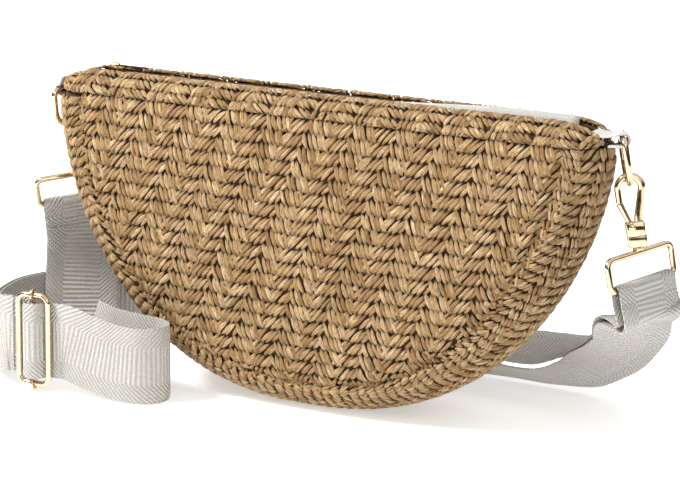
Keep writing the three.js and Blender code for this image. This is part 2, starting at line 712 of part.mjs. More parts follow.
const [leftChain, rightChain] = chains;
const singleStrap = [
  legRow(leftChain, -1, leftChain.frontLeg, 2 * gap, 1),
  legRow(leftChain, -1, leftChain.frontLeg, 8, 1),
  [-156.5, 24, 46, 0.72, 0.69, 0],
  [-155.5, 21, 30, 0.72, 0.69, 0],
  [-153, 17, 16, 0.72, 0.68, 0.05],
  [-147, 8, 8.4, 0.7, 0.66, 0.2],
  [-138, -6, 12.4, 0.62, 0.55, 0.5],
  [-127, -19, 18, 0.4, 0.35, 0.82],
  [-115, -27, 19.8, 0.1, 0.1, 0.99],
  [-102, -30.5, 19.05, ...webUp],
  [-86, -34, 19.05, ...webUp],
  [-71, -36.5, 19.05, ...webUp],
  [-63.5, -43, 19.05, ...webUp],
  [-64, -52, 19.05, ...webUp],
  [-72, -58.5, 19.05, ...webUp],
  [-88, -60.5, 20.6, ...webUp],
  [-100, -60.8, 23.2, ...webUp],
  threadRow(halfFrame + 8, threadBehind + 0.3),
  threadRow(halfFrame + 2.5, threadBehind + 0.1),
  threadRow(halfFrame - 0.4, threadBehind),
  threadRow(halfFrame - 2.6, threadBehind - 1.6),
  threadRow(halfFrame - 3.9, -1.4),
  threadRow(halfFrame - 5.9, -threadFront + 0.7),
  threadRow(0, -threadFront),
  threadRow(-halfFrame + 5.9, -threadFront + 0.7),
  threadRow(-halfFrame + 3.9, -1.4),
  threadRow(-halfFrame + 2.6, threadBehind - 1.6),
  threadRow(-halfFrame + 0.4, threadBehind),
  threadRow(-halfFrame - 2.5, threadBehind + 0.1),
  threadRow(-halfFrame - 4, threadBehind + 0.1),
];
const stepsPerRow = 4;
const singleSteps = stepsPerRow * (singleStrap.length - 1);
const singleStations = smoothStations(singleStrap, singleSteps);
const riserEnd = 8 * stepsPerRow;
const slackStart = 15 * stepsPerRow; // the strap slider can run from here
const threadStart = 18 * stepsPerRow - 1;

// Stations from one step to another, with the last one drawn back to leave a gap to the next piece.
function stretch(stations, from, to) {
  const piece = stations.slice(from, to + 1);
  const last = piece[piece.length - 1];
  const at = last.at.clone().addScaledVector(last.along, -2 * gap);
  return [...piece.slice(0, -1), { ...last, at }];
}

addBand('strap_riser_left', stretch(singleStations, 0, riserEnd));
addBand('strap_front_loop', stretch(singleStations, riserEnd, slackStart));
addBand('strap_slack', stretch(singleStations, slackStart, threadStart));
addBand('strap_thread', stretch(singleStations, threadStart, singleSteps));

// The strap's sewn end: round the slider's middle bar and back beside the threaded layer.
const layerStep = webThickness + 0.8;
const barFold = [
  ...Array.from({ length: 7 }, (_, k) => {
    const angle = THREE.MathUtils.degToRad(60 - 40 * k);
    return threadRow(foldRadius * Math.cos(angle), foldRadius * Math.sin(angle));
  }),
  threadRow(-foldRadius - 1.2, foldRadius + 1),
  threadRow(-halfFrame + 2, threadBehind + layerStep - 0.1),
  threadRow(-halfFrame, threadBehind + layerStep + 0.1),
  threadRow(-halfFrame - 3.6, threadBehind + layerStep + 0.1),
];
addBand('strap_bar_fold', smoothStations(barFold, 24));

// The doubled strap, by its sewn layer: inner at the left turn, outer at the right loop.
const doubledStrap = [
  threadRow(-halfFrame - 4.6, threadBehind + layerStep + 0.1),
  threadRow(-halfFrame - 9, threadBehind + layerStep + 0.6),
  [-154, -53.5, 24, ...webUp],
  [-165, -39, 20.5, ...webUp],
  [-173, -21, 19.05, ...webUp],
  [-175, -3, 19.05, ...webUp],
  [-170, 13, 19.05, ...webUp],
  [-158, 29.5, 19.05, ...webUp],
  [-140, 42, 19.05, ...webUp],
  [-113, 52, 19.05, ...webUp],
  [-75, 58, 19.05, ...webUp],
  [-30, 60, 19.05, 0, -0.1, 0.99],
  [10, 59.5, 17.4, 0, -0.45, 0.89],
  [45, 57.5, 13.4, 0, -0.75, 0.66],
  [75, 55.5, 9.8, 0, -0.9, 0.43],
  [96, 55, 10, -0.05, -0.9, 0.43],
  [113, 54, 14, -0.2, -0.83, 0.52],
  [125, 50, 21.5, -0.28, -0.8, 0.52],
  [141, 38.5, 34.6, -0.28, -0.86, 0.4],
  [153.5, 22.5, 49.5, -0.3, -0.92, 0.22],
  legRow(rightChain, 1, rightChain.frontLeg, 10, 1),
  legRow(rightChain, 1, rightChain.frontLeg, 2 * gap, 1),
];
const doubledSteps = stepsPerRow * (doubledStrap.length - 1);
const turnEnd = 9 * stepsPerRow;
const runEnd = 16 * stepsPerRow + 1;
const { smoothstep, degToRad } = THREE.MathUtils;
const sewnLayer = smoothStations(doubledStrap, doubledSteps);
const threadedLayer = secondLayer(
  sewnLayer,
  (share) => -layerStep - (2 * legRadius - layerStep) * smoothstep(share, 0.88, 1),
  (share) => degToRad(36) * smoothstep(share, 0.5, 0.66) * (1 - smoothstep(share, 0.74, 0.86)),
);

for (const [layer, stations] of [['sewn', sewnLayer], ['threaded', threadedLayer]]) {
  addBand(`strap_turn_${layer}`, stretch(stations, 0, turnEnd));
  addBand(`strap_run_${layer}`, stretch(stations, turnEnd, runEnd));
  addBand(`strap_riser_right_${layer}`, stretch(stations, runEnd, doubledSteps));
}

// Strap slider: a wire frame, and a middle bar whose ends curl round it.
const strapSlider = new THREE.Group();
strapSlider.position.copy(sliderFrameAt);
bag.add(strapSlider);
const framePoints = roundedRectangle(sliderFrameWidth, sliderFrameHeight, sliderFrameCorner);
const frameWire = planarWire(framePoints, vector(0, 1, 0), sliderFrameWire, 10, true);
addMesh('slider_frame', frameWire, gold, strapSlider);
const curlRadius = sliderFrameWire + 0.25 + curlWire;
const curl = (end) => new THREE.TorusGeometry(curlRadius, curlWire, 6, 14)
  .rotateY(Math.PI / 2)
  .translate(0, 0, (end * sliderFrameHeight) / 2);
const barLength = sliderFrameHeight - 2 * curlRadius;
const sliderBar = manifoldOf(postZ(sliderBarRadius, barLength, vector(0, 0, 0)))
  .add(manifoldOf(curl(1)))
  .add(manifoldOf(curl(-1)));
addMesh('slider_bar', geometryOf(sliderBar), gold, strapSlider);

export default bag;
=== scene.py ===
"""A half-moon crossbody purse of woven paper straw, with its webbing strap and gold hardware."""
import json
from math import cos, pi, radians, sin

import bmesh
import bpy
import numpy as np
from mathutils import Matrix, Vector


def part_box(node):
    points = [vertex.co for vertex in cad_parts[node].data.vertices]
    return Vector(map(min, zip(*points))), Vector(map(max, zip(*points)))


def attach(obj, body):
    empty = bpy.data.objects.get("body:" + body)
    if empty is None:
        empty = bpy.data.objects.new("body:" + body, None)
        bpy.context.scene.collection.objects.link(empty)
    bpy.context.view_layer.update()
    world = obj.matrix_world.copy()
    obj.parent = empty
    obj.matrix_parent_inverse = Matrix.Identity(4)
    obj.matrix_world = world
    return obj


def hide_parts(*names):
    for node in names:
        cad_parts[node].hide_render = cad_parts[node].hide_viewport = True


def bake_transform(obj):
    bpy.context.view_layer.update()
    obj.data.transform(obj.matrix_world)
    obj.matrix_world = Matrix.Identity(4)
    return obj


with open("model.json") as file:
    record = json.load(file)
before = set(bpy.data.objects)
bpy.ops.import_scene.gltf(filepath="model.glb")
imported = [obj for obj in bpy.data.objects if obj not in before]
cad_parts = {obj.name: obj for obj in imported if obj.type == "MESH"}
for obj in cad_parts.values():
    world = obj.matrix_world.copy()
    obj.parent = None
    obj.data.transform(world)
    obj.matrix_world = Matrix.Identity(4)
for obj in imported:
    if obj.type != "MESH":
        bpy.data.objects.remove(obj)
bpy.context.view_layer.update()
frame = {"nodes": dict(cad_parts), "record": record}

# ---- Camera, lights and floor ---------------------------------------------------------------
# The bag stands on a plain pale floor in a plain bright studio. One large soft light stands to the
# left and in front, high up, and a weaker one fills from the right. The studio is bright overhead
# and dark round the sides, which gives the metal something to reflect.
CAMERA_TURN = radians(28)
CAMERA_HEIGHT = radians(13.66)
CAMERA_ROLL = radians(0.65)
CAMERA_DISTANCE = 1.4
LENS = 151.9
CAMERA_TARGET = Vector((0, 0, 0.08))
camera_back = Vector((
    sin(CAMERA_TURN) * cos(CAMERA_HEIGHT), -cos(CAMERA_TURN) * cos(CAMERA_HEIGHT), sin(CAMERA_HEIGHT)))
level_right = Vector((cos(CAMERA_TURN), sin(CAMERA_TURN), 0))
level_up = camera_back.cross(level_right)
camera_right = level_right * cos(CAMERA_ROLL) + level_up * sin(CAMERA_ROLL)
camera_up = level_up * cos(CAMERA_ROLL) - level_right * sin(CAMERA_ROLL)
camera_data = bpy.data.cameras.new("camera")
camera_data.lens = LENS
camera_data.shift_x = 0.0212
camera_data.shift_y = -0.0044
camera = bpy.data.objects.new("camera", camera_data)
camera_place = Matrix((camera_right, camera_up, camera_back)).transposed().to_4x4()
camera_place.translation = CAMERA_TARGET + camera_back * CAMERA_DISTANCE
camera.matrix_world = camera_place
bpy.context.collection.objects.link(camera)
bpy.context.scene.camera = camera
bpy.context.scene.view_settings.view_transform = "Standard"


def soft_light(name, place, size, power, warmth=(1, 1, 1)):
    data = bpy.data.lights.new(name, "AREA")
    data.size = size
    data.energy = power
    data.color = warmth
    light = bpy.data.objects.new(name, data)
    light.location = place
    aim = Vector((0, 0, 0.06)) - Vector(place)
    light.rotation_euler = aim.to_track_quat("-Z", "Y").to_euler()
    bpy.context.collection.objects.link(light)


soft_light("key_light", (-0.95, -0.75, 1.45), 0.5, 40, (1.0, 0.985, 0.96))
soft_light("fill_light", (1.5, -1.5, 0.9), 1.2, 6)
studio = bpy.data.worlds.new("studio")
studio.use_nodes = True
sky_nodes, sky_links = studio.node_tree.nodes, studio.node_tree.links
sky = sky_nodes["Background"]
sky.inputs["Strength"].default_value = 0.9
direction = sky_nodes.new("ShaderNodeTexCoord")
height = sky_nodes.new("ShaderNodeSeparateXYZ")
shade = sky_nodes.new("ShaderNodeValToRGB")
DARK_BELOW, BRIGHT_ABOVE = 0.22, 0.5
dark_end, bright_end = shade.color_ramp.elements
dark_end.position, dark_end.color = DARK_BELOW, (0.07, 0.055, 0.045, 1)
bright_end.position, bright_end.color = BRIGHT_ABOVE, (1, 1, 1, 1)
sky_links.new(direction.outputs["Generated"], height.inputs[0])
sky_links.new(height.outputs[2], shade.inputs[0])
sky_links.new(shade.outputs[0], sky.inputs["Color"])
bpy.context.scene.world = studio


def new_material(name):
    material = bpy.data.materials.new(name)
    material.use_nodes = True
    return material, material.node_tree.nodes, material.node_tree.links


FLOOR_SIZE = 6.0
floor_mesh = bpy.data.meshes.new("floor")
floor_half = FLOOR_SIZE / 2
floor_mesh.from_pydata(
    [(-floor_half, -floor_half, 0), (floor_half, -floor_half, 0),
     (floor_half, floor_half, 0), (-floor_half, floor_half, 0)], [], [(0, 1, 2, 3)])
floor = bpy.data.objects.new("floor", floor_mesh)
floor.location.z = -0.0004
bpy.context.collection.objects.link(floor)
floor_paint, nodes, links = new_material("floor_paint")
paint = nodes["Principled BSDF"].inputs
paint["Base Color"].default_value = (0.93, 0.93, 0.93, 1)
paint["Roughness"].default_value = 0.7
paint["Emission Color"].default_value = (1, 1, 1, 1)
paint["Emission Strength"].default_value = 0.45
floor_mesh.materials.append(floor_paint)

# ---- Woven straw panels ---------------------------------------------------------------------
# The bag is woven from flat paper straw, twisted and packed into plump strands. Each row holds
# groups of steep strands between groups of long slanting ones, so the rows stack into chevrons.
# The gaps between the strands are painted shade: a dark-painted shell lies under them, and the strands
# are painted darker along their creases and towards their ends.
ROW_PITCH = 0.0068
COLUMN_PITCH = 0.023
ROW_SHIFT = 0.0021
PANEL_TOP = 0.142
PANEL_DROP = 0.127
PANEL_HALF_WIDTH = 0.131
PANEL_PUFF = 0.005
CREASE_DEPTH = 0.0026
CREASE_WIDTH = 0.0024


def seam_half_width(t):
    return PANEL_HALF_WIDTH * (1 - np.clip(t, 0, 1) ** 1.6) ** (1 / 2.4)


def seam_half_depth(t):
    return (0.036 + 0.026 * (1 - (1 - np.clip(t, 0, 1)) ** 1.5)) / 2


def from_seam(x, t):
    """Distance from a panel's curved seam, measured over the panel; negative outside it."""
    wide = np.abs(x) / PANEL_HALF_WIDTH
    tall = np.clip(t, 1e-4, 2)
    slope = np.hypot(2.4 * wide ** 1.4 / PANEL_HALF_WIDTH, 1.6 * tall ** 0.6 / PANEL_DROP)
    return (1 - wide ** 2.4 - tall ** 1.6) / np.maximum(slope, 1)


def crease(distance):
    return CREASE_DEPTH * np.exp(-(distance / CREASE_WIDTH) ** 2)


def panel_surface(facing):
    def surface(x, drop):
        t = drop / PANEL_DROP
        across = np.clip(x / np.maximum(seam_half_width(t), 0.004), -1, 1)
        puff = PANEL_PUFF * (1 - across ** 2) * (1 - (2 * np.clip(t, 0, 1) - 1) ** 2)
        sink = crease(np.maximum(from_seam(x, t), 0)) + 0.25 * crease(drop)
        return np.stack([x, facing * (seam_half_depth(t) + puff - sink), PANEL_TOP - drop], -1)
    return surface


def surface_normal(surface, s, r, outward):
    step = 2e-4
    along = surface(s + step, r) - surface(s - step, r)
    down = surface(s, r + step) - surface(s, r - step)
    normal = np.cross(along, down) * outward
    return normal / np.maximum(np.linalg.norm(normal, axis=-1, keepdims=True), 1e-12)


# One row's strands between two apexes: start and end, across and down from the apex in millimetres,
# then the strand's width and how high it stands.
STEEP = [[0.3 + 2.45 * k, -1.3, 3.4 + 2.6 * k, 7.6, 2.6, 0.95] for k in range(5)]
SLANTING = [[0.4 - 2.7 * k, -0.1 - 0.2 * k, -6.8 - 2.7 * k, 7.3 - 0.1 * k, 2.4, 0.85] for k in range(4)]
SHORT = [[1.9, 0.9, -3.4, 6.9, 2.2, 0.6], [-11.6, -0.8, -15.6, 3.0, 2.2, 0.5]]
CELL = np.array(STEEP + SLANTING + SHORT)


def weave(chance, rows, first, last, keep, row_start=0.0, lean=1.0, jitter=1.0, size=1.0):
    """Strands of every cell on a surface, as arrays of start, end, width, height and tone.

    A strand whose middle isn't kept is cut there to the half that is kept, if either is.
    """
    strands = []
    for row in range(rows):
        drop = row_start + row * ROW_PITCH * size
        for column in range(first, last):
            apex = (column * COLUMN_PITCH - lean * ROW_SHIFT * row) * size
            for cell in CELL:
                move = chance.normal(0, 0.28, 4) * jitter
                swell = chance.normal(1, 0.09, 2) * size * 1e-3
                tone = chance.random()
                a = (apex + (cell[0] + move[0]) * size * 1e-3, drop + (cell[1] + move[1]) * size * 1e-3)
                b = (apex + (cell[2] + move[2]) * size * 1e-3, drop + (cell[3] + move[3]) * size * 1e-3)
                middle = ((a[0] + b[0]) / 2, (a[1] + b[1]) / 2)
                if not keep(*middle):
                    if keep(*a):
                        b = middle
                    elif keep(*b):
                        a = middle
                    else:
                        continue
                strands.append((*a, *b, cell[4] * swell[0], cell[5] * swell[1], tone))
    return np.array(strands)


STRAND_SINK = 0.0012
STRAND_BOW = 0.0007
START_RISE = 0.0006  # a strand starts on top of the row before it
SIDES = 10
RINGS = 7


def strand_bodies(surface, outward, strands, rings=RINGS):
    """Plump strands, thin at their ends, that lie on a surface and dip into it at both ends."""
    count = len(strands)
    along = (np.arange(rings) / (rings - 1))[None, :]
    start, end = strands[:, 0:2, None], strands[:, 2:4, None]
    s = start[:, 0] + (end[:, 0] - start[:, 0]) * along
    r = start[:, 1] + (end[:, 1] - start[:, 1]) * along
    bulge = np.sin(pi * along) ** 0.6
    normal = surface_normal(surface, s, r, outward)
    middle = surface(s, r)
    travel = np.gradient(middle, axis=1)
    travel /= np.linalg.norm(travel, axis=-1, keepdims=True)
    side = np.cross(normal, travel)
    width = strands[:, 4:5] / 2
    lift = strands[:, 5:6] * bulge - STRAND_SINK + START_RISE * (1 - along)
    half_width = width * 0.9 * (0.16 + 0.84 * bulge)
    half_height = width * 0.5 * (0.16 + 0.84 * bulge)
    bow = STRAND_BOW * (strands[:, 6:7] * 7 % 1 - 0.5) * np.sin(pi * along)
    middle = middle + normal * lift[..., None] + side * bow[..., None]
    angle = 2 * pi * np.arange(SIDES) / SIDES + pi / 2
    fold = 1 + 0.09 * np.cos(3 * angle[None, :] + 40 * strands[:, 6:7])
    fold = fold + 0.07 * np.cos(5 * angle[None, :] + 90 * strands[:, 6:7])
    points = (
        middle[:, :, None, :]
        + side[:, :, None, :] * (half_width[:, :, None] * np.cos(angle) * fold[:, None, :])[..., None]
        + normal[:, :, None, :] * (half_height[:, :, None] * np.sin(angle) * fold[:, None, :])[..., None])
    marks = np.zeros(points.shape)
    marks[..., 0] = np.cos(angle)
    marks[..., 1] = along[0][None, :, None]
    marks[..., 2] = strands[:, 6][:, None, None]
    ring = np.arange(SIDES)
    quads = np.stack([ring, (ring + 1) % SIDES, (ring + 1) % SIDES + SIDES, ring + SIDES], -1)
    tube = np.concatenate([quads + SIDES * k for k in range(rings - 1)])
    first_of = np.arange(count) * SIDES * rings
    faces = (tube[None] + first_of[:, None, None]).reshape(-1, 4)
    caps = [(first + ring[::-1]).tolist() for first in first_of]
    caps += [(first + (rings - 1) * SIDES + ring).tolist() for first in first_of]
    return points.reshape(-1, 3), faces.tolist() + caps, marks.reshape(-1, 3)


def backing_body(surface, outward, s_values, r_values, inset, thickness):
    """A closed thin shell just under the strands. s_values has one row of values for each of r_values."""
    s = np.asarray(s_values)
    r = np.repeat(np.asarray(r_values)[:, None], s.shape[1], 1)
    normal = surface_normal(surface, s, r, outward)
    outer = surface(s, r) - normal * inset
    inner = outer - normal * thickness
    rows, columns = s.shape
    points = np.concatenate([outer.reshape(-1, 3), inner.reshape(-1, 3)])
    faces = []
    under = rows * columns
    for i in range(rows - 1):
        for j in range(columns - 1):
            a, b = i * columns + j, i * columns + j + 1
            c, d = b + columns, a + columns
            faces += [[a, b, c, d], [under + d, under + c, under + b, under + a]]
    rim = list(range(columns - 1)) + [i * columns + columns - 1 for i in range(rows - 1)]
    rim += [(rows - 1) * columns + j for j in range(columns - 1, 0, -1)]
    rim += [i * columns for i in range(rows - 1, 0, -1)]
    for a, b in zip(rim, rim[1:] + rim[:1]):
        faces.append([b, a, under + a, under + b])
    if outward < 0:
        faces = [f[::-1] for f in faces]
    return points, faces


def mesh_piece(name, points, faces, materials, marks=None, mark_name=None, parts=None):
    """A mesh object; parts gives the number of faces that each material covers, in order."""
    mesh = bpy.data.meshes.new(name)
    mesh.from_pydata(np.asarray(points).tolist(), [], faces)
    for material in materials:
        mesh.materials.append(material)
    if parts:
        mesh.polygons.foreach_set("material_index", np.repeat(np.arange(len(parts)), parts))
    mesh.polygons.foreach_set("use_smooth", [True] * len(mesh.polygons))
    if marks is not None:
        mark = mesh.attributes.new(mark_name, "FLOAT_VECTOR", "POINT")
        mark.data.foreach_set("vector", np.asarray(marks, np.float32).ravel())
    mesh.update()
    piece = bpy.data.objects.new(name, mesh)
    bpy.context.collection.objects.link(piece)
    return piece


def group_sockets(tree, inputs, outputs):
    for label, kind, value in inputs:
        socket = tree.interface.new_socket(name=label, in_out="INPUT", socket_type=kind)
        if value is not None:
            socket.default_value = value
    for label, kind in outputs:
        tree.interface.new_socket(name=label, in_out="OUTPUT", socket_type=kind)
    return tree.nodes.new("NodeGroupInput"), tree.nodes.new("NodeGroupOutput")


def add_math(tree, operation, a, b=None, clamp=False):
    node = tree.nodes.new("ShaderNodeMath")
    node.operation = operation
    node.use_clamp = clamp
    for socket, value in zip(node.inputs, (a, b)):
        if value is None:
            continue
        if isinstance(value, (int, float)):
            socket.default_value = value
        else:
            tree.links.new(value, socket)
    return node.outputs[0]


def creased_paper_group():
    """Lengthwise creases of a twisted paper strand, from its across, along and tone marks.
    Crease also darkens the colour in the creases as painted shade, and End shade darkens the strand
    towards both ends as painted shade.
    """
    tree = bpy.data.node_groups.new("creased paper", "ShaderNodeTree")
    given, result = group_sockets(
        tree,
        [("Marks", "NodeSocketVector", None), ("Creases", "NodeSocketFloat", 2.2)],
        [("Crease", "NodeSocketFloat"), ("Tone", "NodeSocketFloat"), ("End shade", "NodeSocketFloat")])
    split = tree.nodes.new("ShaderNodeSeparateXYZ")
    tree.links.new(given.outputs["Marks"], split.inputs[0])
    across, along, tone = split.outputs
    joined = tree.nodes.new("ShaderNodeCombineXYZ")
    wide = add_math(tree, "MULTIPLY", across, given.outputs["Creases"])
    tree.links.new(add_math(tree, "ADD", wide, add_math(tree, "MULTIPLY", tone, 71.0)), joined.inputs[0])
    tree.links.new(add_math(tree, "ADD", add_math(tree, "MULTIPLY", along, 1.3), across), joined.inputs[1])
    tree.links.new(add_math(tree, "MULTIPLY", tone, 29.0), joined.inputs[2])
    noise = tree.nodes.new("ShaderNodeTexNoise")
    noise.inputs["Scale"].default_value = 1.5
    noise.inputs["Detail"].default_value = 3
    tree.links.new(joined.outputs[0], noise.inputs["Vector"])
    off_line = add_math(tree, "ABSOLUTE", add_math(tree, "SUBTRACT", noise.outputs[0], 0.5))
    line = add_math(tree, "MULTIPLY", off_line, 11.0, True)
    tree.links.new(add_math(tree, "ADD", add_math(tree, "MULTIPLY", line, 0.6), noise.outputs[0]),
                   result.inputs["Crease"])
    tree.links.new(tone, result.inputs["Tone"])
    centred = add_math(tree, "ABSOLUTE", add_math(tree, "SUBTRACT", along, 0.5))
    tree.links.new(add_math(tree, "POWER", add_math(tree, "MULTIPLY", centred, 2.0), 3.5),
                   result.inputs["End shade"])
    return tree


creased_paper = creased_paper_group()


def colour_ramp(nodes, stops):
    ramp = nodes.new("ShaderNodeValToRGB")
    while len(ramp.color_ramp.elements) < len(stops):
        ramp.color_ramp.elements.new(0.5)
    for element, (place, colour) in zip(ramp.color_ramp.elements, stops):
        element.position = place
        element.color = (*colour, 1)
    return ramp


def mix_colour(nodes, links, share, first, second, kind="MIX"):
    mix = nodes.new("ShaderNodeMix")
    mix.data_type = "RGBA"
    mix.blend_type = kind
    for socket, value in ((mix.inputs["Factor"], share), (mix.inputs["A"], first), (mix.inputs["B"], second)):
        if isinstance(value, (int, float)):
            socket.default_value = value
        elif isinstance(value, tuple):
            socket.default_value = (*value, 1)
        else:
            links.new(value, socket)
    return mix.outputs["Result"]


def bump_from(nodes, links, height, strength, distance):
    """A bump of the shader's normal by a height."""
    bump = nodes.new("ShaderNodeBump")
    bump.inputs["Strength"].default_value = strength
    bump.inputs["Distance"].default_value = distance
    links.new(height, bump.inputs["Height"])
    links.new(bump.outputs[0], nodes["Principled BSDF"].inputs["Normal"])


def noise_in_place(nodes, links, scale, detail=2.0):
    """Noise in the object's own space."""
    place = nodes.new("ShaderNodeTexCoord")
    noise = nodes.new("ShaderNodeTexNoise")
    noise.inputs["Scale"].default_value = scale
    noise.inputs["Detail"].default_value = detail
    links.new(place.outputs["Object"], noise.inputs["Vector"])
    return noise.outputs[0]


def speckled(name, scale, stops, roughness):
    """A material whose colour wanders between tones."""
    material, nodes, links = new_material(name)
    tones = colour_ramp(nodes, stops)
    links.new(noise_in_place(nodes, links, scale), tones.inputs[0])
    links.new(tones.outputs[0], nodes["Principled BSDF"].inputs["Base Color"])
    nodes["Principled BSDF"].inputs["Roughness"].default_value = roughness
    return material


straw, nodes, links = new_material("straw")
shader = nodes["Principled BSDF"]
marks = nodes.new("ShaderNodeAttribute")
marks.attribute_name = "strand"
paper = nodes.new("ShaderNodeGroup")
paper.node_tree = creased_paper
links.new(marks.outputs["Vector"], paper.inputs["Marks"])
tones = colour_ramp(nodes, [
    (0.0, (0.40, 0.235, 0.095)), (0.3, (0.53, 0.335, 0.15)),
    (0.7, (0.66, 0.445, 0.225)), (1.0, (0.80, 0.58, 0.33))])
links.new(paper.outputs["Tone"], tones.inputs[0])
# Painted shade: the strand's colour is darkened to deep brown along its creases.
crease_shade_mask = colour_ramp(nodes, [(0.45, (1, 1, 1)), (0.95, (0, 0, 0))])
links.new(paper.outputs["Crease"], crease_shade_mask.inputs[0])
creased = mix_colour(nodes, links, crease_shade_mask.outputs[0], tones.outputs[0], (0.13, 0.06, 0.018))
mostly_crease_shaded = mix_colour(nodes, links, 0.9, tones.outputs[0], creased)
# Painted shade: each strand is darkened towards both ends, where it dips under its neighbours.
end_shaded = mix_colour(nodes, links, paper.outputs["End shade"], mostly_crease_shaded, (0.09, 0.042, 0.014))
links.new(end_shaded, shader.inputs["Base Color"])
shader.inputs["Roughness"].default_value = 0.58
shader.inputs["Specular IOR Level"].default_value = 0.35
bump_from(nodes, links, paper.outputs["Crease"], 0.75, 0.0008)
# Painted shade: a dark shell under the strands gives the shade in the gaps between them.
straw_gap_shade = speckled("straw_gap_shade", 700, [(0.3, (0.035, 0.016, 0.005)), (0.75, (0.12, 0.06, 0.02))], 0.9)


def straw_piece(name, node, surface, outward, strands, backing, rings=RINGS):
    points, faces, marks = strand_bodies(surface, outward, strands, rings=rings)
    back_points, back_faces = backing
    faces = faces + [[k + len(points) for k in f] for f in back_faces]
    all_points = np.concatenate([points, back_points])
    all_points[:, 2] = np.maximum(all_points[:, 2], 0)
    all_marks = np.concatenate([marks, np.full((len(back_points), 3), 0.5)])
    parts = [len(faces) - len(back_faces), len(back_faces)]
    piece = mesh_piece(name, all_points, faces, [straw, straw_gap_shade], all_marks, "strand", parts)
    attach(piece, "bag")
    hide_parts(node)
    return piece


BACKING_INSET = 0.0020
BACKING_THICKNESS = 0.0012
panel_shares = np.sin(np.linspace(0, pi / 2, 40)) * 0.998
for side, facing, seed in (("front", -1, 11), ("back", 1, 12)):
    surface = panel_surface(facing)
    chance = np.random.default_rng(seed)
    strands = weave(
        chance, 19, -7, 9,
        lambda x, drop: drop < PANEL_DROP and from_seam(x, drop / PANEL_DROP) > 0.0004)
    if facing > 0:
        strands[:, [0, 2]] *= -1
    columns = np.linspace(-1, 1, 61)
    across = seam_half_width(panel_shares)[:, None] * columns[None, :]
    backing = backing_body(
        surface, facing, across, panel_shares * PANEL_DROP, BACKING_INSET, BACKING_THICKNESS)
    straw_piece(f"straw_{side}", f"{side}_panel", surface, facing, strands, backing)

# ---- Gusset ---------------------------------------------------------------------------------
# One strip of the same weave joins the two panels round the curved seam, with its rows running
# from front to back. It bulges between the seams and is pressed flat where the bag stands.
GUSSET_BULGE = 0.016
seam_shares = np.sin(np.linspace(0, pi / 2, 400))
right_half = np.stack([seam_half_width(seam_shares), PANEL_TOP - PANEL_DROP * seam_shares], -1)
left_half = right_half[:-1][::-1] * np.array([-1, 1])
seam = np.concatenate([right_half, left_half])
seam_share = np.concatenate([seam_shares, seam_shares[:-1][::-1]])
seam_way = np.gradient(seam, axis=0)
seam_way /= np.linalg.norm(seam_way, axis=1, keepdims=True)
seam_out = np.stack([-seam_way[:, 1], seam_way[:, 0]], -1)
rim = seam + seam_out * GUSSET_BULGE
rim_length = np.concatenate([[0], np.cumsum(np.linalg.norm(np.diff(rim, axis=0), axis=1))])
RIM_TOTAL = rim_length[-1]


def gusset_width(r):
    t = np.interp(r, rim_length, seam_share)
    half_depth = seam_half_depth(t)
    return pi * np.sqrt((half_depth ** 2 + GUSSET_BULGE ** 2) / 2)


def gusset_surface(s, r):
    """s is the distance from the front seam over to the back one, r the distance round the rim."""
    t = np.interp(r, rim_length, seam_share)
    x, z = np.interp(r, rim_length, seam[:, 0]), np.interp(r, rim_length, seam[:, 1])
    out_x, out_z = np.interp(r, rim_length, seam_out[:, 0]), np.interp(r, rim_length, seam_out[:, 1])
    width = gusset_width(r)
    angle = -pi / 2 + pi * np.clip(s / width, 0, 1)
    edge = np.minimum(s, width - s)
    sink = crease(np.maximum(edge, 0))
    bulge = GUSSET_BULGE + 0.001 * t + 0.0026 * (1 - t)
    out = 0.0003 + bulge * np.cos(angle) - sink * 0.4
    y = (seam_half_depth(t) - sink) * np.sin(angle)
    end = np.minimum(r, RIM_TOTAL - r) / 0.004
    out = out - 0.0016 * np.exp(-end ** 2)
    return np.stack([x + out * out_x, y, np.maximum(z + out * out_z, 0.0009)], -1)


chance = np.random.default_rng(13)
GUSSET_WEAVE = 0.8  # the gusset's weave is finer than the panels'
gusset_rows = int(RIM_TOTAL / (ROW_PITCH * GUSSET_WEAVE))
strands = weave(
    chance, gusset_rows, -1, 7,
    lambda s, r: 0.0006 < s < gusset_width(r) - 0.0006 and 0.001 < r < RIM_TOTAL - 0.001,
    lean=0.35, jitter=1.7, size=GUSSET_WEAVE)
rim_values = np.linspace(0.0002, RIM_TOTAL - 0.0002, 140)
across = gusset_width(rim_values)[:, None] * np.linspace(0.002, 0.998, 25)[None, :]
backing = backing_body(gusset_surface, -1, across, rim_values, BACKING_INSET, BACKING_THICKNESS)
straw_piece("straw_gusset", "gusset", gusset_surface, -1, strands, backing, rings=5)

# ---- Top bands ------------------------------------------------------------------------------
# A band of the weave on each side of the zip turns over from the panel's top seam to the zip's
# edge, and rounds down onto the gusset at each end of the bag.
BAND_BASE = 0.1423
BAND_HEIGHT = 0.010
BAND_DEPTH = 0.018
BAND_END = 0.1452
BAND_CORNER = 0.120
MOUTH_HALF_WIDTH = 0.0052
BAND_ARC = 0.0183


def band_surface(facing):
    def surface(x, rise):
        far = np.abs(x)
        past = np.clip((far - PANEL_HALF_WIDTH) / GUSSET_BULGE, 0, 0.985)
        base = BAND_DEPTH * np.sqrt(1 - past ** 2)
        corner = np.clip((far - BAND_CORNER) / 0.027, 0, 0.99)
        height = BAND_HEIGHT * np.sqrt(1 - corner ** 2)
        angle = pi / 2 * np.clip(rise / BAND_ARC, 0, 1)
        sink = 0.25 * crease(rise)
        y = MOUTH_HALF_WIDTH + np.maximum(base - MOUTH_HALF_WIDTH - sink, 0.001) * np.cos(angle)
        return np.stack([x, facing * y, BAND_BASE + height * np.sin(angle) + 0.0006], -1)
    return surface


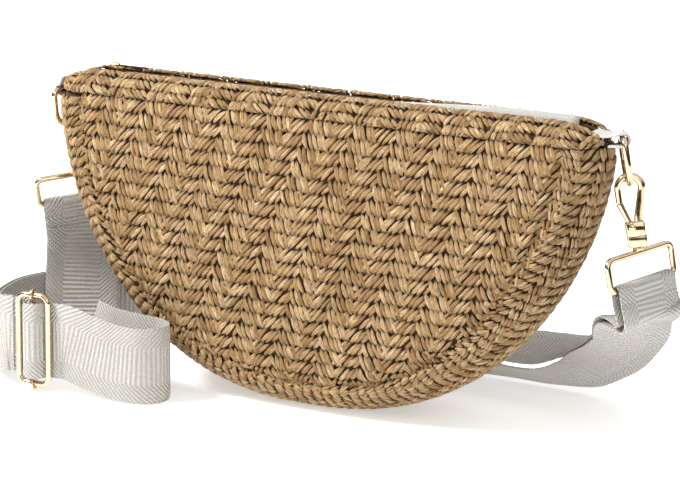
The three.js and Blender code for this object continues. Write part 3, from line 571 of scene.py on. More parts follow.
for side, facing, seed in (("front", -1, 14), ("rear", 1, 15)):
    surface = band_surface(facing)
    chance = np.random.default_rng(seed)
    strands = weave(
        chance, 3, -7, 8, lambda x, rise: abs(x) < BAND_END and 0.0004 < rise < BAND_ARC,
        row_start=-0.0015, lean=-1.0, jitter=1.2)
    rise_values = np.linspace(0, BAND_ARC, 9)
    across = np.repeat((-BAND_END * np.cos(np.linspace(0, pi, 70)))[None, :], 9, 0)
    backing = backing_body(surface, -facing, across, rise_values, BACKING_INSET, BACKING_THICKNESS)
    straw_piece(f"straw_band_{side}", f"top_band_{side}", surface, -facing, strands, backing)

# ---- Lining and zip -------------------------------------------------------------------------
# A plain cotton lining hangs inside. The zip has grey woven tapes whose outer edges stand up
# beside the straw, grey moulded teeth, and a gold slider with a flat pull.
NODES = frame["nodes"]


def fine_weave_group():
    """Plain weave over a surface in the object's own space, as a mask of raised threads."""
    tree = bpy.data.node_groups.new("fine weave", "ShaderNodeTree")
    given, result = group_sockets(
        tree, [("Place", "NodeSocketVector", None), ("Threads per metre", "NodeSocketFloat", 2200.0)],
        [("Thread", "NodeSocketFloat"), ("Fuzz", "NodeSocketFloat")])
    scaled = tree.nodes.new("ShaderNodeVectorMath")
    scaled.operation = "SCALE"
    tree.links.new(given.outputs["Place"], scaled.inputs[0])
    tree.links.new(given.outputs["Threads per metre"], scaled.inputs["Scale"])
    split = tree.nodes.new("ShaderNodeSeparateXYZ")
    tree.links.new(scaled.outputs[0], split.inputs[0])
    waves = [add_math(tree, "SINE", add_math(tree, "MULTIPLY", axis, pi)) for axis in split.outputs]
    crossed = add_math(tree, "MULTIPLY", waves[0], add_math(tree, "ADD", waves[1], waves[2]))
    tree.links.new(add_math(tree, "MULTIPLY", crossed, 0.5), result.inputs["Thread"])
    fuzz = tree.nodes.new("ShaderNodeTexNoise")
    fuzz.inputs["Scale"].default_value = 1.4
    tree.links.new(scaled.outputs[0], fuzz.inputs["Vector"])
    tree.links.new(fuzz.outputs[0], result.inputs["Fuzz"])
    return tree


fine_weave = fine_weave_group()


def woven_cloth(name, dark, light, threads, roughness):
    material, nodes, links = new_material(name)
    shader = nodes["Principled BSDF"]
    place = nodes.new("ShaderNodeTexCoord")
    group = nodes.new("ShaderNodeGroup")
    group.node_tree = fine_weave
    group.inputs["Threads per metre"].default_value = threads
    links.new(place.outputs["Object"], group.inputs["Place"])
    tones = colour_ramp(nodes, [(0.25, dark), (0.75, light)])
    links.new(group.outputs["Fuzz"], tones.inputs[0])
    links.new(tones.outputs[0], shader.inputs["Base Color"])
    bump_from(nodes, links, group.outputs["Thread"], 0.5, 0.0003)
    shader.inputs["Roughness"].default_value = roughness
    return material


cotton = woven_cloth("cotton", (0.50, 0.45, 0.36), (0.62, 0.57, 0.47), 1800, 0.95)
grey_tape = woven_cloth("grey_tape", (0.47, 0.46, 0.45), (0.64, 0.63, 0.61), 1300, 0.85)
grey_plastic = speckled("grey_plastic", 900, [(0.3, (0.42, 0.41, 0.39)), (0.7, (0.54, 0.52, 0.50))], 0.35)

gold, nodes, links = new_material("gold")
shader = nodes["Principled BSDF"]
polish = noise_in_place(nodes, links, 260, 4)
tones = colour_ramp(nodes, [(0.3, (0.70, 0.54, 0.35)), (0.7, (0.80, 0.65, 0.45))])
smears = colour_ramp(nodes, [(0.3, (0.05, 0.05, 0.05)), (0.8, (0.13, 0.13, 0.13))])
for ramp, socket in ((tones, "Base Color"), (smears, "Roughness")):
    links.new(polish, ramp.inputs[0])
    links.new(ramp.outputs[0], shader.inputs[socket])
bump_from(nodes, links, polish, 0.06, 0.0002)
shader.inputs["Metallic"].default_value = 1.0


def dress(node, material):
    mesh = NODES[node].data
    mesh.materials.clear()
    mesh.materials.append(material)


dress("lining", cotton)
for node in ("zip_teeth_front", "zip_teeth_rear"):
    dress(node, grey_plastic)
for node in ("zip_slider", "zip_pull", "zip_top_stop_front", "zip_top_stop_rear", "zip_bottom_stop"):
    dress(node, gold)


def tube_faces(rings, sides, closed=False, caps=True):
    """Faces between rings of points; a tube that doesn't close on itself can have flat caps."""
    faces = []
    for i in range(rings if closed else rings - 1):
        near, far = i * sides, (i + 1) % rings * sides
        for j in range(sides):
            k = (j + 1) % sides
            faces.append([near + j, near + k, far + k, far + j])
    if caps and not closed:
        faces += [list(range(sides))[::-1], [(rings - 1) * sides + j for j in range(sides)]]
    return faces


TAPE_WALL_TOP = 0.1536
REAR_RISE, FRONT_RISE = 0.0022, 0.0020
for side, facing in (("front", -1), ("rear", 1)):
    low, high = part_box(f"zip_tape_{side}")
    tape_x = np.linspace(low[0], high[0], 60)
    middle_z = (low[2] + high[2]) / 2
    raised = np.clip((tape_x - 0.03) / 0.06, 0, 1) * np.clip((0.139 - tape_x) / 0.012, 0, 1)
    if facing > 0:
        wall = middle_z + REAR_RISE + (TAPE_WALL_TOP - middle_z - REAR_RISE) * raised
    else:
        wall = np.full(len(tape_x), middle_z + FRONT_RISE)
    points = []
    for x, top in zip(tape_x, wall):
        half_way = (middle_z + top) / 2
        section = [
            (0.0027, middle_z), (0.0036, middle_z), (0.0042, middle_z + 0.0006), (0.0045, half_way),
            (0.0047, top - 0.0004), (0.0050, top), (0.0046, top + 0.0003), (0.0041, top),
            (0.0038, half_way), (0.0036, middle_z + 0.0009), (0.0032, middle_z + 0.0004),
            (0.0027, middle_z + 0.0004)]
        points += [(x, facing * y, z) for y, z in section]
    tape = mesh_piece(f"tape_{side}", points, tube_faces(len(tape_x), len(section)), [grey_tape])
    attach(tape, "bag")
    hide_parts(f"zip_tape_{side}")

# ---- Hanging hardware -----------------------------------------------------------------------
# At each end of the bag a D-ring holds a swivel snap hook, and the hook's post turns in its block
# and carries a rectangular loop for the strap. All of it is bent wire and castings, polished and
# plated pale gold. Each chain is drawn in its own frame: z up the chain, x along the ring's bar.
JOINTS = {joint["name"]: joint for joint in frame["record"]["behaviour"]["joints"]}
WIRE = 0.0016
HOOK_BOW_Z = -0.0230
HOOK_BOW_RADIUS = 0.0056
BLOCK_TOP, BLOCK_BOTTOM = -0.0385, -0.0505
LOOP_TOP, LOOP_BOTTOM = -0.0531, -0.0681
GATE_PIN = (-0.0016, -0.0409)


def arc(x, z, radius, start, end, steps):
    angles = np.radians(np.linspace(start, end, steps + 1))
    return [(x + radius * cos(a), 0, z + radius * sin(a)) for a in angles]


def rounded_frame(width, height, corner, middle_z=0.0, steps=10):
    x, z = width / 2 - corner, height / 2 - corner
    points = arc(x, z, corner, 0, 90, steps) + arc(-x, z, corner, 90, 180, steps)
    points += arc(-x, -z, corner, 180, 270, steps) + arc(x, -z, corner, 270, 360, steps)
    return [(px, py, pz + middle_z) for px, py, pz in points]


def wire_body(points, radius, closed, sides=20):
    """Round wire along points in the XZ plane; radius is one number or one for each point."""
    line = np.array(points, float)
    radii = np.broadcast_to(np.asarray(radius, float), (len(line),))
    if closed:
        travel = np.roll(line, -1, 0) - np.roll(line, 1, 0)
    else:
        travel = np.gradient(line, axis=0)
    travel /= np.linalg.norm(travel, axis=1, keepdims=True)
    plane = np.array([0.0, 1.0, 0.0])
    side = np.cross(plane, travel)
    angle = 2 * pi * np.arange(sides) / sides
    ring = side[:, None, :] * np.cos(angle)[None, :, None] + plane * np.sin(angle)[None, :, None]
    rings = line[:, None, :] + ring * radii[:, None, None]
    faces = tube_faces(len(line), sides, closed)
    return rings.reshape(-1, 3), [face[::-1] for face in faces]


def turned_body(profile, axis="Z", sides=28, at=(0, 0, 0)):
    """A turned solid from (radius, height) pairs that start and end on its axis."""
    angle = 2 * pi * np.arange(sides) / sides
    points, faces = [], []
    inner = profile[1:-1]
    for radius, height in inner:
        points += [(radius * cos(a), radius * sin(a), height) for a in angle]
    bottom, top = len(points), len(points) + 1
    points += [(0, 0, profile[0][1]), (0, 0, profile[-1][1])]
    for i in range(len(inner) - 1):
        for j in range(sides):
            k = (j + 1) % sides
            faces.append([i * sides + j, i * sides + k, (i + 1) * sides + k, (i + 1) * sides + j])
    last = (len(inner) - 1) * sides
    for j in range(sides):
        k = (j + 1) % sides
        faces += [[bottom, k, j], [top, last + j, last + k]]
    points = np.array(points)
    if axis == "Y":
        points = points[:, [0, 2, 1]] * np.array([1, -1, 1])
    return points + np.array(at), faces


def rounded_block(low, high, corner, cuts=3):
    """A block with rounded edges, between two corners."""
    low, high = np.array(low), np.array(high)
    shape = bmesh.new()
    bmesh.ops.create_cube(shape, size=1)
    for v in shape.verts:
        v.co = Vector(low + (np.array(v.co) + 0.5) * (high - low))
    bmesh.ops.bevel(
        shape, geom=shape.edges[:] + shape.verts[:], offset=corner, segments=cuts, profile=0.5,
        affect="EDGES")
    shape.verts.index_update()
    points = np.array([v.co[:] for v in shape.verts])
    faces = [[v.index for v in f.verts] for f in shape.faces]
    shape.free()
    return points, faces


def join_bodies(bodies):
    points, faces, start = [], [], 0
    for body_points, body_faces in bodies:
        points.append(np.asarray(body_points))
        faces += [[k + start for k in f] for f in body_faces]
        start += len(body_points)
    return np.concatenate(points), faces


def chain_frame(side, turn, slack):
    """Origin and x, y, z directions of a chain turned about its own length."""
    ring = JOINTS[f"ring_{side}_swing"]
    hook = JOINTS[f"hook_{side}_swing"]
    origin, foot = np.array(ring["pos_m"]), np.array(hook["pos_m"])
    up = (origin - foot) / np.linalg.norm(origin - foot)
    x = np.array(ring["axis"])
    y = np.cross(up, x)
    turned_x = x * cos(turn) + y * sin(turn)
    return origin + up * slack, turned_x, np.cross(up, turned_x), up


def into(place, points):
    origin, x, y, z = place
    points = np.asarray(points)
    return origin + points[:, :1] * x + points[:, 1:2] * y + points[:, 2:3] * z


def gold_piece(name, bodies, place, body, *nodes):
    points, faces = join_bodies(bodies)
    piece = mesh_piece(name, into(place, points), faces, [gold])
    piece.data.set_sharp_from_angle(angle=radians(40))
    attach(piece, body)
    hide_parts(*nodes)
    return piece


RING_HALF_WIDTH, RING_DROP, RING_CORNER = 0.0105, 0.021, 0.0024
ring_line = arc(RING_HALF_WIDTH - RING_CORNER, -RING_CORNER, RING_CORNER, 0, 90, 8)
ring_line += arc(-RING_HALF_WIDTH + RING_CORNER, -RING_CORNER, RING_CORNER, 90, 180, 8)
ring_line += arc(0, RING_HALF_WIDTH - RING_DROP, RING_HALF_WIDTH, 180, 360, 40)
ring_body = wire_body(ring_line, WIRE, True)

hook_line = [(0.0016, 0, BLOCK_TOP - 0.003), (0.0022, 0, BLOCK_TOP + 0.002)]
hook_line += [(0.0022 + 0.0034 * k / 8, 0, BLOCK_TOP + 0.002 + 0.0135 * k / 8) for k in range(1, 8)]
hook_line += arc(0, HOOK_BOW_Z, HOOK_BOW_RADIUS, 0, 180, 32)
hook_line += [(-HOOK_BOW_RADIUS, 0, HOOK_BOW_Z - 0.002 * k) for k in (1, 2, 3)]
hook_radii = np.interp(np.linspace(0, 1, len(hook_line)), [0, 0.15, 0.5, 1], [0.0021, 0.0018, 0.0018, 0.0015])
CHEEK_GAP = 0.0016
hook_bodies = [
    wire_body(hook_line, hook_radii, False),
    rounded_block((-0.0046, -0.0034, BLOCK_BOTTOM), (0.0046, 0.0034, BLOCK_BOTTOM + 0.0064), 0.0009),
    rounded_block((-0.0044, CHEEK_GAP, BLOCK_BOTTOM + 0.004), (0.0044, 0.0034, BLOCK_TOP), 0.0007),
    rounded_block((-0.0044, -0.0034, BLOCK_BOTTOM + 0.004), (0.0044, -CHEEK_GAP, BLOCK_TOP), 0.0007),
    rounded_block((0.0012, -0.0030, BLOCK_BOTTOM + 0.004), (0.0044, 0.0030, BLOCK_TOP), 0.0007),
]
RIVET = [
    (0, -0.0039), (0.0010, -0.0038), (0.0016, -0.0034), (0.0010, -0.0033), (0.0010, 0.0033),
    (0.0016, 0.0034), (0.0010, 0.0038), (0, 0.0039)]
rivet_body = turned_body(RIVET, "Y", at=(GATE_PIN[0], 0, GATE_PIN[1]))

GATE_STEPS = 10
GATE_HUB = [
    (0, -0.0011), (0.0019, -0.0011), (0.0021, -0.0008), (0.0021, 0.0008), (0.0019, 0.0011), (0, 0.0011)]
gate_foot = np.array([GATE_PIN[0], 0, GATE_PIN[1]])
gate_reach = np.array([-HOOK_BOW_RADIUS, 0, HOOK_BOW_Z - 0.0066]) - gate_foot
gate_line = [gate_foot + gate_reach * k / GATE_STEPS for k in range(GATE_STEPS + 1)]
gate_radii = np.interp(np.arange(GATE_STEPS + 1), [0, 3, 10], [0.0013, 0.0013, 0.0016])
gate_bodies = [wire_body(gate_line, gate_radii, False), turned_body(GATE_HUB, "Y", at=gate_foot)]
loop_line = rounded_frame(0.043, LOOP_TOP - LOOP_BOTTOM, 0.0034, (LOOP_TOP + LOOP_BOTTOM) / 2)
post_profile = [(0, LOOP_TOP), (0.0015, LOOP_TOP), (0.0015, LOOP_TOP + 0.0008), (0.0026, LOOP_TOP + 0.0011),
                (0.0027, LOOP_TOP + 0.0017), (0.0024, LOOP_TOP + 0.0022), (0.0014, LOOP_TOP + 0.0023),
                (0.0014, BLOCK_BOTTOM + 0.0030), (0, BLOCK_BOTTOM + 0.0032)]
loop_bodies = [wire_body(loop_line, 0.0015, True), turned_body(post_profile)]

# Each side's turns about the chain, its slack, the webbing's two legs and where its tab starts.
CHAINS = {
    "left": {
        "hook_turn": radians(60), "loop_turn": radians(-36), "slack": 0.0014,
        "legs": (0.006, 0.024), "root": -0.139},
    "right": {
        "hook_turn": radians(90), "loop_turn": radians(-48), "slack": 0.0,
        "legs": (0.006, 0.006), "root": 0.139},
}
for side, chain in CHAINS.items():
    chain["ring_place"] = chain_frame(side, 0, 0)
    chain["hook_place"] = chain_frame(side, chain["hook_turn"], chain["slack"])
    chain["loop_place"] = chain_frame(side, chain["loop_turn"], chain["slack"])
    gold_piece(f"ring_wire_{side}", [ring_body], chain["ring_place"], f"ring_{side}", f"d_ring_{side}")
    gold_piece(f"snap_hook_{side}", hook_bodies, chain["hook_place"], f"hook_{side}", f"hook_body_{side}")
    gold_piece(f"gate_rivet_{side}", [rivet_body], chain["hook_place"], f"hook_{side}", f"hook_pin_{side}")
    gold_piece(f"gate_bar_{side}", gate_bodies, chain["hook_place"], f"gate_{side}", f"hook_gate_{side}")
    gold_piece(f"loop_frame_{side}", loop_bodies, chain["loop_place"], f"swivel_{side}", f"strap_loop_{side}")

# ---- Strap slider ---------------------------------------------------------------------------
# A rounded wire frame with a middle bar whose ends are curled round the frame's short sides.
SLIDER_AT = np.array([-0.1285, -0.064, 0.0262])
SLIDER_WIDTH, SLIDER_HEIGHT, SLIDER_CORNER = 0.017, 0.045, 0.004
SLIDER_WIRE, CURL_WIRE, CURL_RADIUS = 0.0015, 0.0008, 0.00255
slider_place = (SLIDER_AT, np.array([1.0, 0, 0]), np.array([0, 1.0, 0]), np.array([0, 0, 1.0]))
frame_wire = wire_body(rounded_frame(SLIDER_WIDTH, SLIDER_HEIGHT, SLIDER_CORNER), SLIDER_WIRE, True)
gold_piece("buckle_frame", [frame_wire], slider_place, "strap_slider_body", "slider_frame")
BAR_HALF = SLIDER_HEIGHT / 2 - CURL_RADIUS
bar_profile = [
    (0, -BAR_HALF), (0.0011, -BAR_HALF + 0.0002), (0.0013, -BAR_HALF + 0.001),
    (0.0013, BAR_HALF - 0.001), (0.0011, BAR_HALF - 0.0002), (0, BAR_HALF)]
bar_bodies = [turned_body(bar_profile)]
for end in (1, -1):
    circle = [(CURL_RADIUS * cos(a), 0, CURL_RADIUS * sin(a)) for a in np.linspace(0, 2 * pi, 29)[:-1]]
    points, faces = wire_body(circle, CURL_WIRE, True, 12)
    points = points[:, [1, 0, 2]] + np.array([0, 0, end * SLIDER_HEIGHT / 2])
    bar_bodies.append((points, [face[::-1] for face in faces]))
gold_piece("buckle_bar", bar_bodies, slider_place, "strap_slider_body", "slider_bar")

# ---- Webbing strap --------------------------------------------------------------------------
# Herringbone cotton webbing, 38 mm wide. From the left loop it drops to the floor, makes a loop
# before the bag and threads the slider; from there it is doubled, runs round behind the bag and
# climbs to the right loop. A length beside one moving loop or the slider rides with it; a length
# between two moving parts stays fixed in place.
WEB_WIDTH, WEB_THICKNESS = 0.038, 0.0016
RIB_PITCH, YARN_PITCH = 0.0023, 0.0011
STRAIGHT_RIBS = 0.0095  # half the width of the middle, where the ribs run straight across


def webbing_group():
    """Ribs across the middle of a webbing that turn into slanting ribs along both edges."""
    tree = bpy.data.node_groups.new("herringbone webbing", "ShaderNodeTree")
    given, result = group_sockets(
        tree, [("Marks", "NodeSocketVector", None), ("Rib pitch", "NodeSocketFloat", RIB_PITCH)],
        [("Rib", "NodeSocketFloat"), ("Yarn", "NodeSocketFloat")])
    split = tree.nodes.new("ShaderNodeSeparateXYZ")
    tree.links.new(given.outputs["Marks"], split.inputs[0])
    across, along, _ = split.outputs
    far = add_math(tree, "ABSOLUTE", across)
    past = add_math(tree, "MAXIMUM", add_math(tree, "SUBTRACT", far, STRAIGHT_RIBS), 0.0)
    phase = add_math(tree, "DIVIDE", add_math(tree, "ADD", along, past), given.outputs["Rib pitch"])
    wave = add_math(tree, "SINE", add_math(tree, "MULTIPLY", phase, 2 * pi))
    tree.links.new(add_math(tree, "MULTIPLY", add_math(tree, "ADD", wave, 1.0), 0.5), result.inputs["Rib"])
    yarn = add_math(tree, "SINE", add_math(tree, "MULTIPLY", across, pi / YARN_PITCH))
    tree.links.new(add_math(tree, "ABSOLUTE", yarn), result.inputs["Yarn"])
    return tree


webbing, nodes, links = new_material("webbing")
shader = nodes["Principled BSDF"]
marks = nodes.new("ShaderNodeAttribute")
marks.attribute_name = "webbing"
ribs = nodes.new("ShaderNodeGroup")
ribs.node_tree = webbing_group()
links.new(marks.outputs["Vector"], ribs.inputs["Marks"])
fuzz = noise_in_place(nodes, links, 1500)
yarn_tones = colour_ramp(nodes, [(0.3, (0.53, 0.51, 0.48)), (0.7, (0.63, 0.61, 0.575))])
links.new(fuzz, yarn_tones.inputs[0])
# Painted shade: the yarn colour is darkened in the grooves between the ribs; the bump adds the relief.
rib_groove_shade = colour_ramp(nodes, [(0.0, (0.74, 0.725, 0.70)), (0.45, (1, 1, 1))])
links.new(ribs.outputs["Rib"], rib_groove_shade.inputs[0])
groove_shaded = mix_colour(nodes, links, 1.0, yarn_tones.outputs[0], rib_groove_shade.outputs[0], "MULTIPLY")
links.new(groove_shaded, shader.inputs["Base Color"])
height = nodes.new("ShaderNodeMath")
height.operation = "MULTIPLY_ADD"
links.new(ribs.outputs["Yarn"], height.inputs[0])
height.inputs[1].default_value = 0.35
links.new(ribs.outputs["Rib"], height.inputs[2])
bump_from(nodes, links, height.outputs[0], 1.0, 0.0007)
shader.inputs["Roughness"].default_value = 0.75
shader.inputs["Sheen Weight"].default_value = 0.15


def curve_points(rows, shares):
    """Points of a centripetal curve through rows, at shares counted in rows."""
    rows = np.asarray(rows, float)
    points = []
    for share in shares:
        i = min(int(share), len(rows) - 2)
        w = share - i
        p1, p2 = rows[i], rows[i + 1]
        p0 = rows[i - 1] if i > 0 else 2 * p1 - p2
        p3 = rows[i + 2] if i + 2 < len(rows) else 2 * p2 - p1
        steps = [max(np.sum((b - a) ** 2) ** 0.25, 1e-6) for a, b in ((p0, p1), (p1, p2), (p2, p3))]
        m1 = ((p1 - p0) / steps[0] - (p2 - p0) / (steps[0] + steps[1]) + (p2 - p1) / steps[1]) * steps[1]
        m2 = ((p2 - p1) / steps[1] - (p3 - p1) / (steps[1] + steps[2]) + (p3 - p2) / steps[2]) * steps[1]
        c2, c3 = 3 * (p2 - p1) - 2 * m1 - m2, 2 * (p1 - p2) + m1 + m2
        points.append(p1 + m1 * w + c2 * w ** 2 + c3 * w ** 3)
    return np.array(points)


def unit(vectors):
    return vectors / np.linalg.norm(vectors, axis=-1, keepdims=True)


def band_line(rows, start, end, per_row=10):
    """Centre, width direction, travel and length of a band from one row to another."""
    rows = np.asarray(rows, float)
    places = rows[:, :3] * 1e-3
    shares = np.linspace(start, end, max(int((end - start) * per_row), 4) + 1)
    centre = curve_points(places, shares)
    nearby = curve_points(places, np.minimum(shares + 0.02, len(rows) - 1))
    behind = curve_points(places, np.maximum(shares - 0.02, 0))
    whole = curve_points(places, np.linspace(0, end, int(end * per_row) + 2))
    total = np.linalg.norm(np.diff(whole, axis=0), axis=1).sum()
    steps = np.concatenate([[0], np.cumsum(np.linalg.norm(np.diff(centre, axis=0), axis=1))])
    return {
        "centre": centre, "across": unit(curve_points(rows[:, 3:], shares)), "travel": unit(nearby - behind),
        "length": total - steps[-1] + steps, "share": shares}


COLUMNS = 16


def band_body(line, width=WEB_WIDTH, thickness=WEB_THICKNESS):
    """A flat band with rounded edges, and its marks: across and along in metres."""
    travel = line["travel"]
    side = unit(line["across"] - np.sum(line["across"] * travel, -1, keepdims=True) * travel)
    normal = np.cross(travel, side)
    places = np.linspace(-1, 1, COLUMNS + 1)
    over = [(p, 0.5 * min(1, (1.0 - abs(p)) * 12 + 0.30)) for p in places]
    section = over + [(p, -h) for p, h in reversed(over)]
    points, marks = [], []
    for centre, s, n, length in zip(line["centre"], side, normal, line["length"]):
        for p, h in section:
            points.append(centre + s * (p * width / 2) + n * (h * thickness))
            marks.append((p * width / 2, length, 0))
    count = len(section)
    rings = len(line["centre"])
    faces = tube_faces(rings, count, caps=False)
    for j in range(COLUMNS):
        a, b, c, d = j, j + 1, count - 2 - j, count - 1 - j
        last = (rings - 1) * count
        faces += [[d, c, b, a], [last + a, last + b, last + c, last + d]]
    return np.array(points), [f[::-1] for f in faces], np.array(marks)


def web_piece(name, line, material, width=WEB_WIDTH, thickness=WEB_THICKNESS):
    points, faces, marks = band_body(line, width, thickness)
    piece = mesh_piece(name, points, faces, [material], marks, "webbing")
    piece.data.set_sharp_from_angle(angle=radians(55))
    return piece


WEB_UP = [0, 0, 1]
SLIDER_X, SLIDER_Y, SLIDER_Z = SLIDER_AT * 1000
HALF_FRAME = 8.5
BEHIND = 1.5 + 0.3 + 0.8 + 0.2
FOLD_RADIUS = 1.3 + 0.3 + 0.8
BEFORE = FOLD_RADIUS + 1.6 + 0.3 + 0.2
LEG_RADIUS = 0.0015 + 0.0003 + WEB_THICKNESS / 2


def thread_row(u, v):
    return [SLIDER_X + u, SLIDER_Y + v, SLIDER_Z, *WEB_UP]


def leg_row(side, facing, leg, below):
    place = CHAINS[side]["loop_place"]
    at = into(place, [(0, facing * LEG_RADIUS, LOOP_BOTTOM - leg - below)])[0] * 1000
    return [*at, *place[1]]


SINGLE = [
    leg_row("left", -1, 0.006, 0.0001), leg_row("left", -1, 0.006, 0.008),
    [-156.5, 24, 46, 0.72, 0.69, 0], [-155.5, 21, 30, 0.72, 0.69, 0], [-153, 17, 16, 0.72, 0.68, 0.05],
    [-147, 8, 8.4, 0.7, 0.66, 0.2], [-138, -6, 12.4, 0.62, 0.55, 0.5], [-127, -19, 18, 0.4, 0.35, 0.82],
    [-115, -27, 19.8, 0.1, 0.1, 0.99], [-102, -30.5, 19.05, *WEB_UP], [-86, -34, 19.05, *WEB_UP],
    [-71, -36.5, 19.05, *WEB_UP], [-63.5, -43, 19.05, *WEB_UP], [-64, -52, 19.05, *WEB_UP],
    [-72, -58.5, 19.05, *WEB_UP], [-88, -60.5, 20.6, *WEB_UP], [-100, -60.8, 23.2, *WEB_UP],
    thread_row(HALF_FRAME + 8, BEHIND + 0.3), thread_row(HALF_FRAME + 2.5, BEHIND + 0.1),
    thread_row(HALF_FRAME - 0.4, BEHIND), thread_row(HALF_FRAME - 2.6, BEHIND - 1.6),
    thread_row(HALF_FRAME - 3.9, -1.4), thread_row(HALF_FRAME - 5.9, 0.7 - BEFORE), thread_row(0, -BEFORE),
    thread_row(5.9 - HALF_FRAME, 0.7 - BEFORE), thread_row(3.9 - HALF_FRAME, -1.4),
    thread_row(2.6 - HALF_FRAME, BEHIND - 1.6), thread_row(0.4 - HALF_FRAME, BEHIND),
    thread_row(-HALF_FRAME - 2.5, BEHIND + 0.1), thread_row(-HALF_FRAME - 4, BEHIND + 0.1),
]
LAYER = 2.4
DOUBLED = [
    thread_row(-HALF_FRAME - 4.6, BEHIND + LAYER + 0.1), thread_row(-HALF_FRAME - 9, BEHIND + LAYER + 0.6),
    [-154, -53.5, 24, *WEB_UP], [-165, -39, 20.5, *WEB_UP], [-173, -21, 19.05, *WEB_UP],
    [-175, -3, 19.05, *WEB_UP], [-170, 13, 19.05, *WEB_UP], [-158, 29.5, 19.05, *WEB_UP],
    [-140, 42, 19.05, *WEB_UP], [-113, 52, 19.05, *WEB_UP],
    [-75, 58, 19.05, *WEB_UP], [-30, 60, 19.05, 0, -0.1, 0.99], [10, 59.5, 17.4, 0, -0.45, 0.89],
    [45, 57.5, 13.4, 0, -0.75, 0.66], [75, 55.5, 9.8, 0, -0.9, 0.43], [96, 55, 10, -0.05, -0.9, 0.43],
    [113, 54, 14, -0.2, -0.83, 0.52], [125, 50, 21.5, -0.28, -0.8, 0.52], [140.5, 37, 34, -0.3, -0.84, 0.42],
    [151.5, 24.5, 45.5, -0.42, -0.84, 0.3], [158, 12, 56.5, -0.56, -0.8, 0.14],
    leg_row("right", 1, 0.006, 0.010), leg_row("right", 1, 0.006, 0.0001),
]


def ride_or_bend(piece, bodies):
    if len(bodies) == 1:
        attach(piece, bodies[0])
    else:
        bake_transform(piece)


LEFT_PIECES = [
    ("web_left_sewn", 0, 1.7, ["swivel_left"], "strap_riser_left", "hung"),
    ("web_left_twist", 1.7, 2.7, ["swivel_left", "hook_left"], None, "hung"),
    ("web_left_hang", 2.7, 3.7, ["hook_left", "ring_left"], None, "hung"),
    ("web_left_foot", 3.7, 8, ["ring_left", "bag"], None, "hung"),
    ("web_front_loop", 8, 15, ["bag"], "strap_front_loop", "laid"),
    ("web_slack", 15, 17.75, ["bag", "strap_slider_body"], "strap_slack", "laid"),
    ("web_thread", 17.75, 29, ["strap_slider_body"], "strap_thread", "laid"),
]
for name, start, end, bodies, node, held in LEFT_PIECES:
    line = band_line(SINGLE, start, end)
    piece = web_piece(name, line, webbing)
    ride_or_bend(piece, bodies)
    if node:
        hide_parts(node)


def second_layer(line):
    """The outer layer of the doubled strap, which opens from the inner one behind the bag."""
    def smooth(x, low, high):
        t = np.clip((x - low) / (high - low), 0, 1)
        return t * t * (3 - 2 * t)
    share = line["share"] / (len(DOUBLED) - 1)
    opening = radians(36) * smooth(share, 0.5, 0.66) * (1 - smooth(share, 0.74, 0.86))
    apart = -(LAYER * 1e-3) - (2 * LEG_RADIUS - LAYER * 1e-3) * smooth(share, 0.88, 1)
    across, travel = line["across"], line["travel"]
    turned = (across * np.cos(opening)[:, None] + np.cross(travel, across) * np.sin(opening)[:, None]
              + travel * (np.sum(travel * across, -1) * (1 - np.cos(opening)))[:, None])
    edge = line["centre"] + across * WEB_WIDTH / 2
    normal = unit(np.cross(travel, across))
    centre = edge + normal * apart[:, None] - turned * WEB_WIDTH / 2
    return {**line, "centre": centre, "across": turned}


RUN_END = 16.25
RIGHT_PIECES = [
    ("turn", 0, 9, ["strap_slider_body", "bag"], "strap_turn", "laid"),
    ("run", 9, RUN_END, ["bag"], "strap_run", "laid"),
    ("foot", RUN_END, 18.3, ["bag", "ring_right"], "strap_riser_right", "hung"),
    ("hang", 18.3, 19.4, ["ring_right", "hook_right"], None, "hung"),
    ("twist", 19.4, 20.85, ["hook_right", "swivel_right"], None, "hung"),
    ("top", 20.85, 22, ["swivel_right"], None, "hung"),
]
for part, start, end, bodies, node, held in RIGHT_PIECES:
    inner = band_line(DOUBLED, start, end)
    for layer, line in (("sewn", inner), ("threaded", second_layer(inner))):
        piece = web_piece(f"web_{part}_{layer}", line, webbing)
        if part == "turn":
            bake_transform(piece)
        else:
            ride_or_bend(piece, bodies)
        if node:
            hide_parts(f"{node}_{layer}")

bar_fold = [
    thread_row(FOLD_RADIUS * cos(radians(turn)), FOLD_RADIUS * sin(radians(turn)))
    for turn in range(60, -181, -40)]
bar_fold += [
    thread_row(-FOLD_RADIUS - 1.2, FOLD_RADIUS + 1), thread_row(2 - HALF_FRAME, BEHIND + LAYER - 0.1),
    thread_row(-HALF_FRAME, BEHIND + LAYER + 0.1), thread_row(-HALF_FRAME - 4.6, BEHIND + LAYER + 0.1)]
line = band_line(bar_fold, 0, 10, 6)
piece = web_piece("web_bar_fold", line, webbing)
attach(piece, "strap_slider_body")
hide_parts("strap_bar_fold")

for side, chain in CHAINS.items():
    angles = np.linspace(0, pi, 13)
    front, rear = chain["legs"]
    local = [(0, -LEG_RADIUS, LOOP_BOTTOM - front * share) for share in (1, 0.5)]
    local += [(0, -LEG_RADIUS * cos(a), LOOP_BOTTOM + LEG_RADIUS * sin(a)) for a in angles]
    local += [(0, LEG_RADIUS, LOOP_BOTTOM - rear * share) for share in (0.5, 1)]
    rows = [[*(p * 1000), *chain["loop_place"][1]] for p in into(chain["loop_place"], local)]
    line = band_line(rows, 0, len(rows) - 1, 3)
    piece = web_piece(f"web_fold_{side}", line, webbing)
    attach(piece, f"swivel_{side}")
    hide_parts(f"strap_fold_{side}")

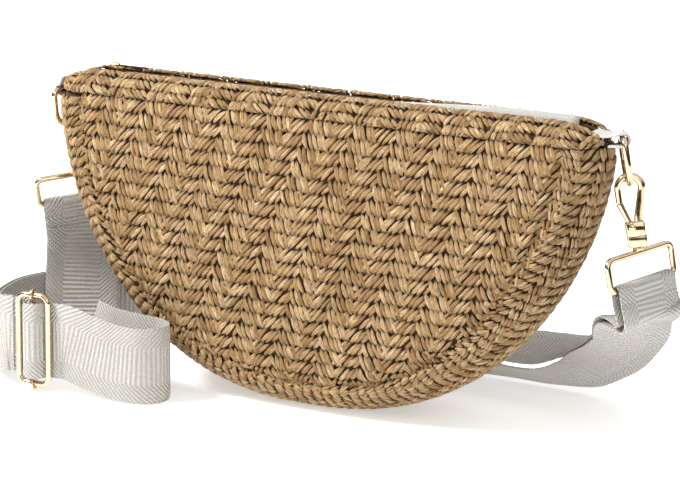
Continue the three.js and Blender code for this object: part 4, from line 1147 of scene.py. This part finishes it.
# ---- Stitching ------------------------------------------------------------------------------
# Two rows of short stitches hold the webbing's end behind each swivel loop. Each stitch is a thread
# that stands out of the webbing by half its thickness.
STITCH_ROWS = (0.0085, 0.0130)
STITCH_PITCH, STITCH_LENGTH, STITCH_RADIUS = 0.0030, 0.0021, 0.00045
STITCH_OUT = LEG_RADIUS + WEB_THICKNESS / 2
thread = speckled("sewing_thread", 2600, [(0.3, (0.36, 0.34, 0.31)), (0.7, (0.50, 0.48, 0.45))], 0.8)
STITCH_PROFILE = [(0, -1), (0.6, -0.9), (1, -0.5), (1, 0.5), (0.6, 0.9), (0, 1)]
for side, facing in (("left", -1), ("right", 1)):
    bodies = []
    for below in STITCH_ROWS:
        for column in range(-6, 7):
            profile = [(radius * STITCH_RADIUS, way * STITCH_LENGTH / 2) for radius, way in STITCH_PROFILE]
            points, faces = turned_body(profile, sides=8)
            points = points[:, [2, 1, 0]]
            at = np.array([column * STITCH_PITCH, facing * STITCH_OUT, LOOP_BOTTOM - below])
            bodies.append((points + at, [face[::-1] for face in faces]))
    points, faces = join_bodies(bodies)
    stitches = mesh_piece(f"stitches_{side}", into(CHAINS[side]["loop_place"], points), faces, [thread])
    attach(stitches, f"swivel_{side}")

# ---- End tabs -------------------------------------------------------------------------------
# A grey woven tape is sewn in at each end of the zip and folded round the ring's straight bar.
TAB_WIDTH, TAB_THICKNESS = 0.013, 0.0012
TAB_WRAP = WIRE + 0.0006 + TAB_THICKNESS / 2
ZIP_TOP = 0.1523
for side, chain in CHAINS.items():
    origin, x, y, up = chain["ring_place"]
    endward = np.sign(chain["root"])
    outward = y * np.sign(y[0]) * endward
    depthward = np.array([0, np.sign(x[1]), 0])
    root = np.array([chain["root"], 0, ZIP_TOP - 0.0045])
    bend = root + np.array([endward * 0.008, 0, -0.0006])
    rows = [[*(root * 1000), *depthward], [*(bend * 1000), *depthward]]
    for k in range(9):
        turn = pi / 2 - pi * k / 8
        at = origin + outward * TAB_WRAP * cos(turn) + up * TAB_WRAP * sin(turn)
        rows.append([*(at * 1000), *x])
    tail = origin + up * (-TAB_WRAP - 0.0006)
    tail[0] = endward * (PANEL_HALF_WIDTH + GUSSET_BULGE + 0.002)
    rows.append([*(tail * 1000), *x])
    line = band_line(rows, 0, len(rows) - 1, 5)
    piece = web_piece(f"end_tab_{side}", line, grey_tape,
                      width=TAB_WIDTH, thickness=TAB_THICKNESS)
    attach(piece, "bag")
    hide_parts(f"tab_{side}")
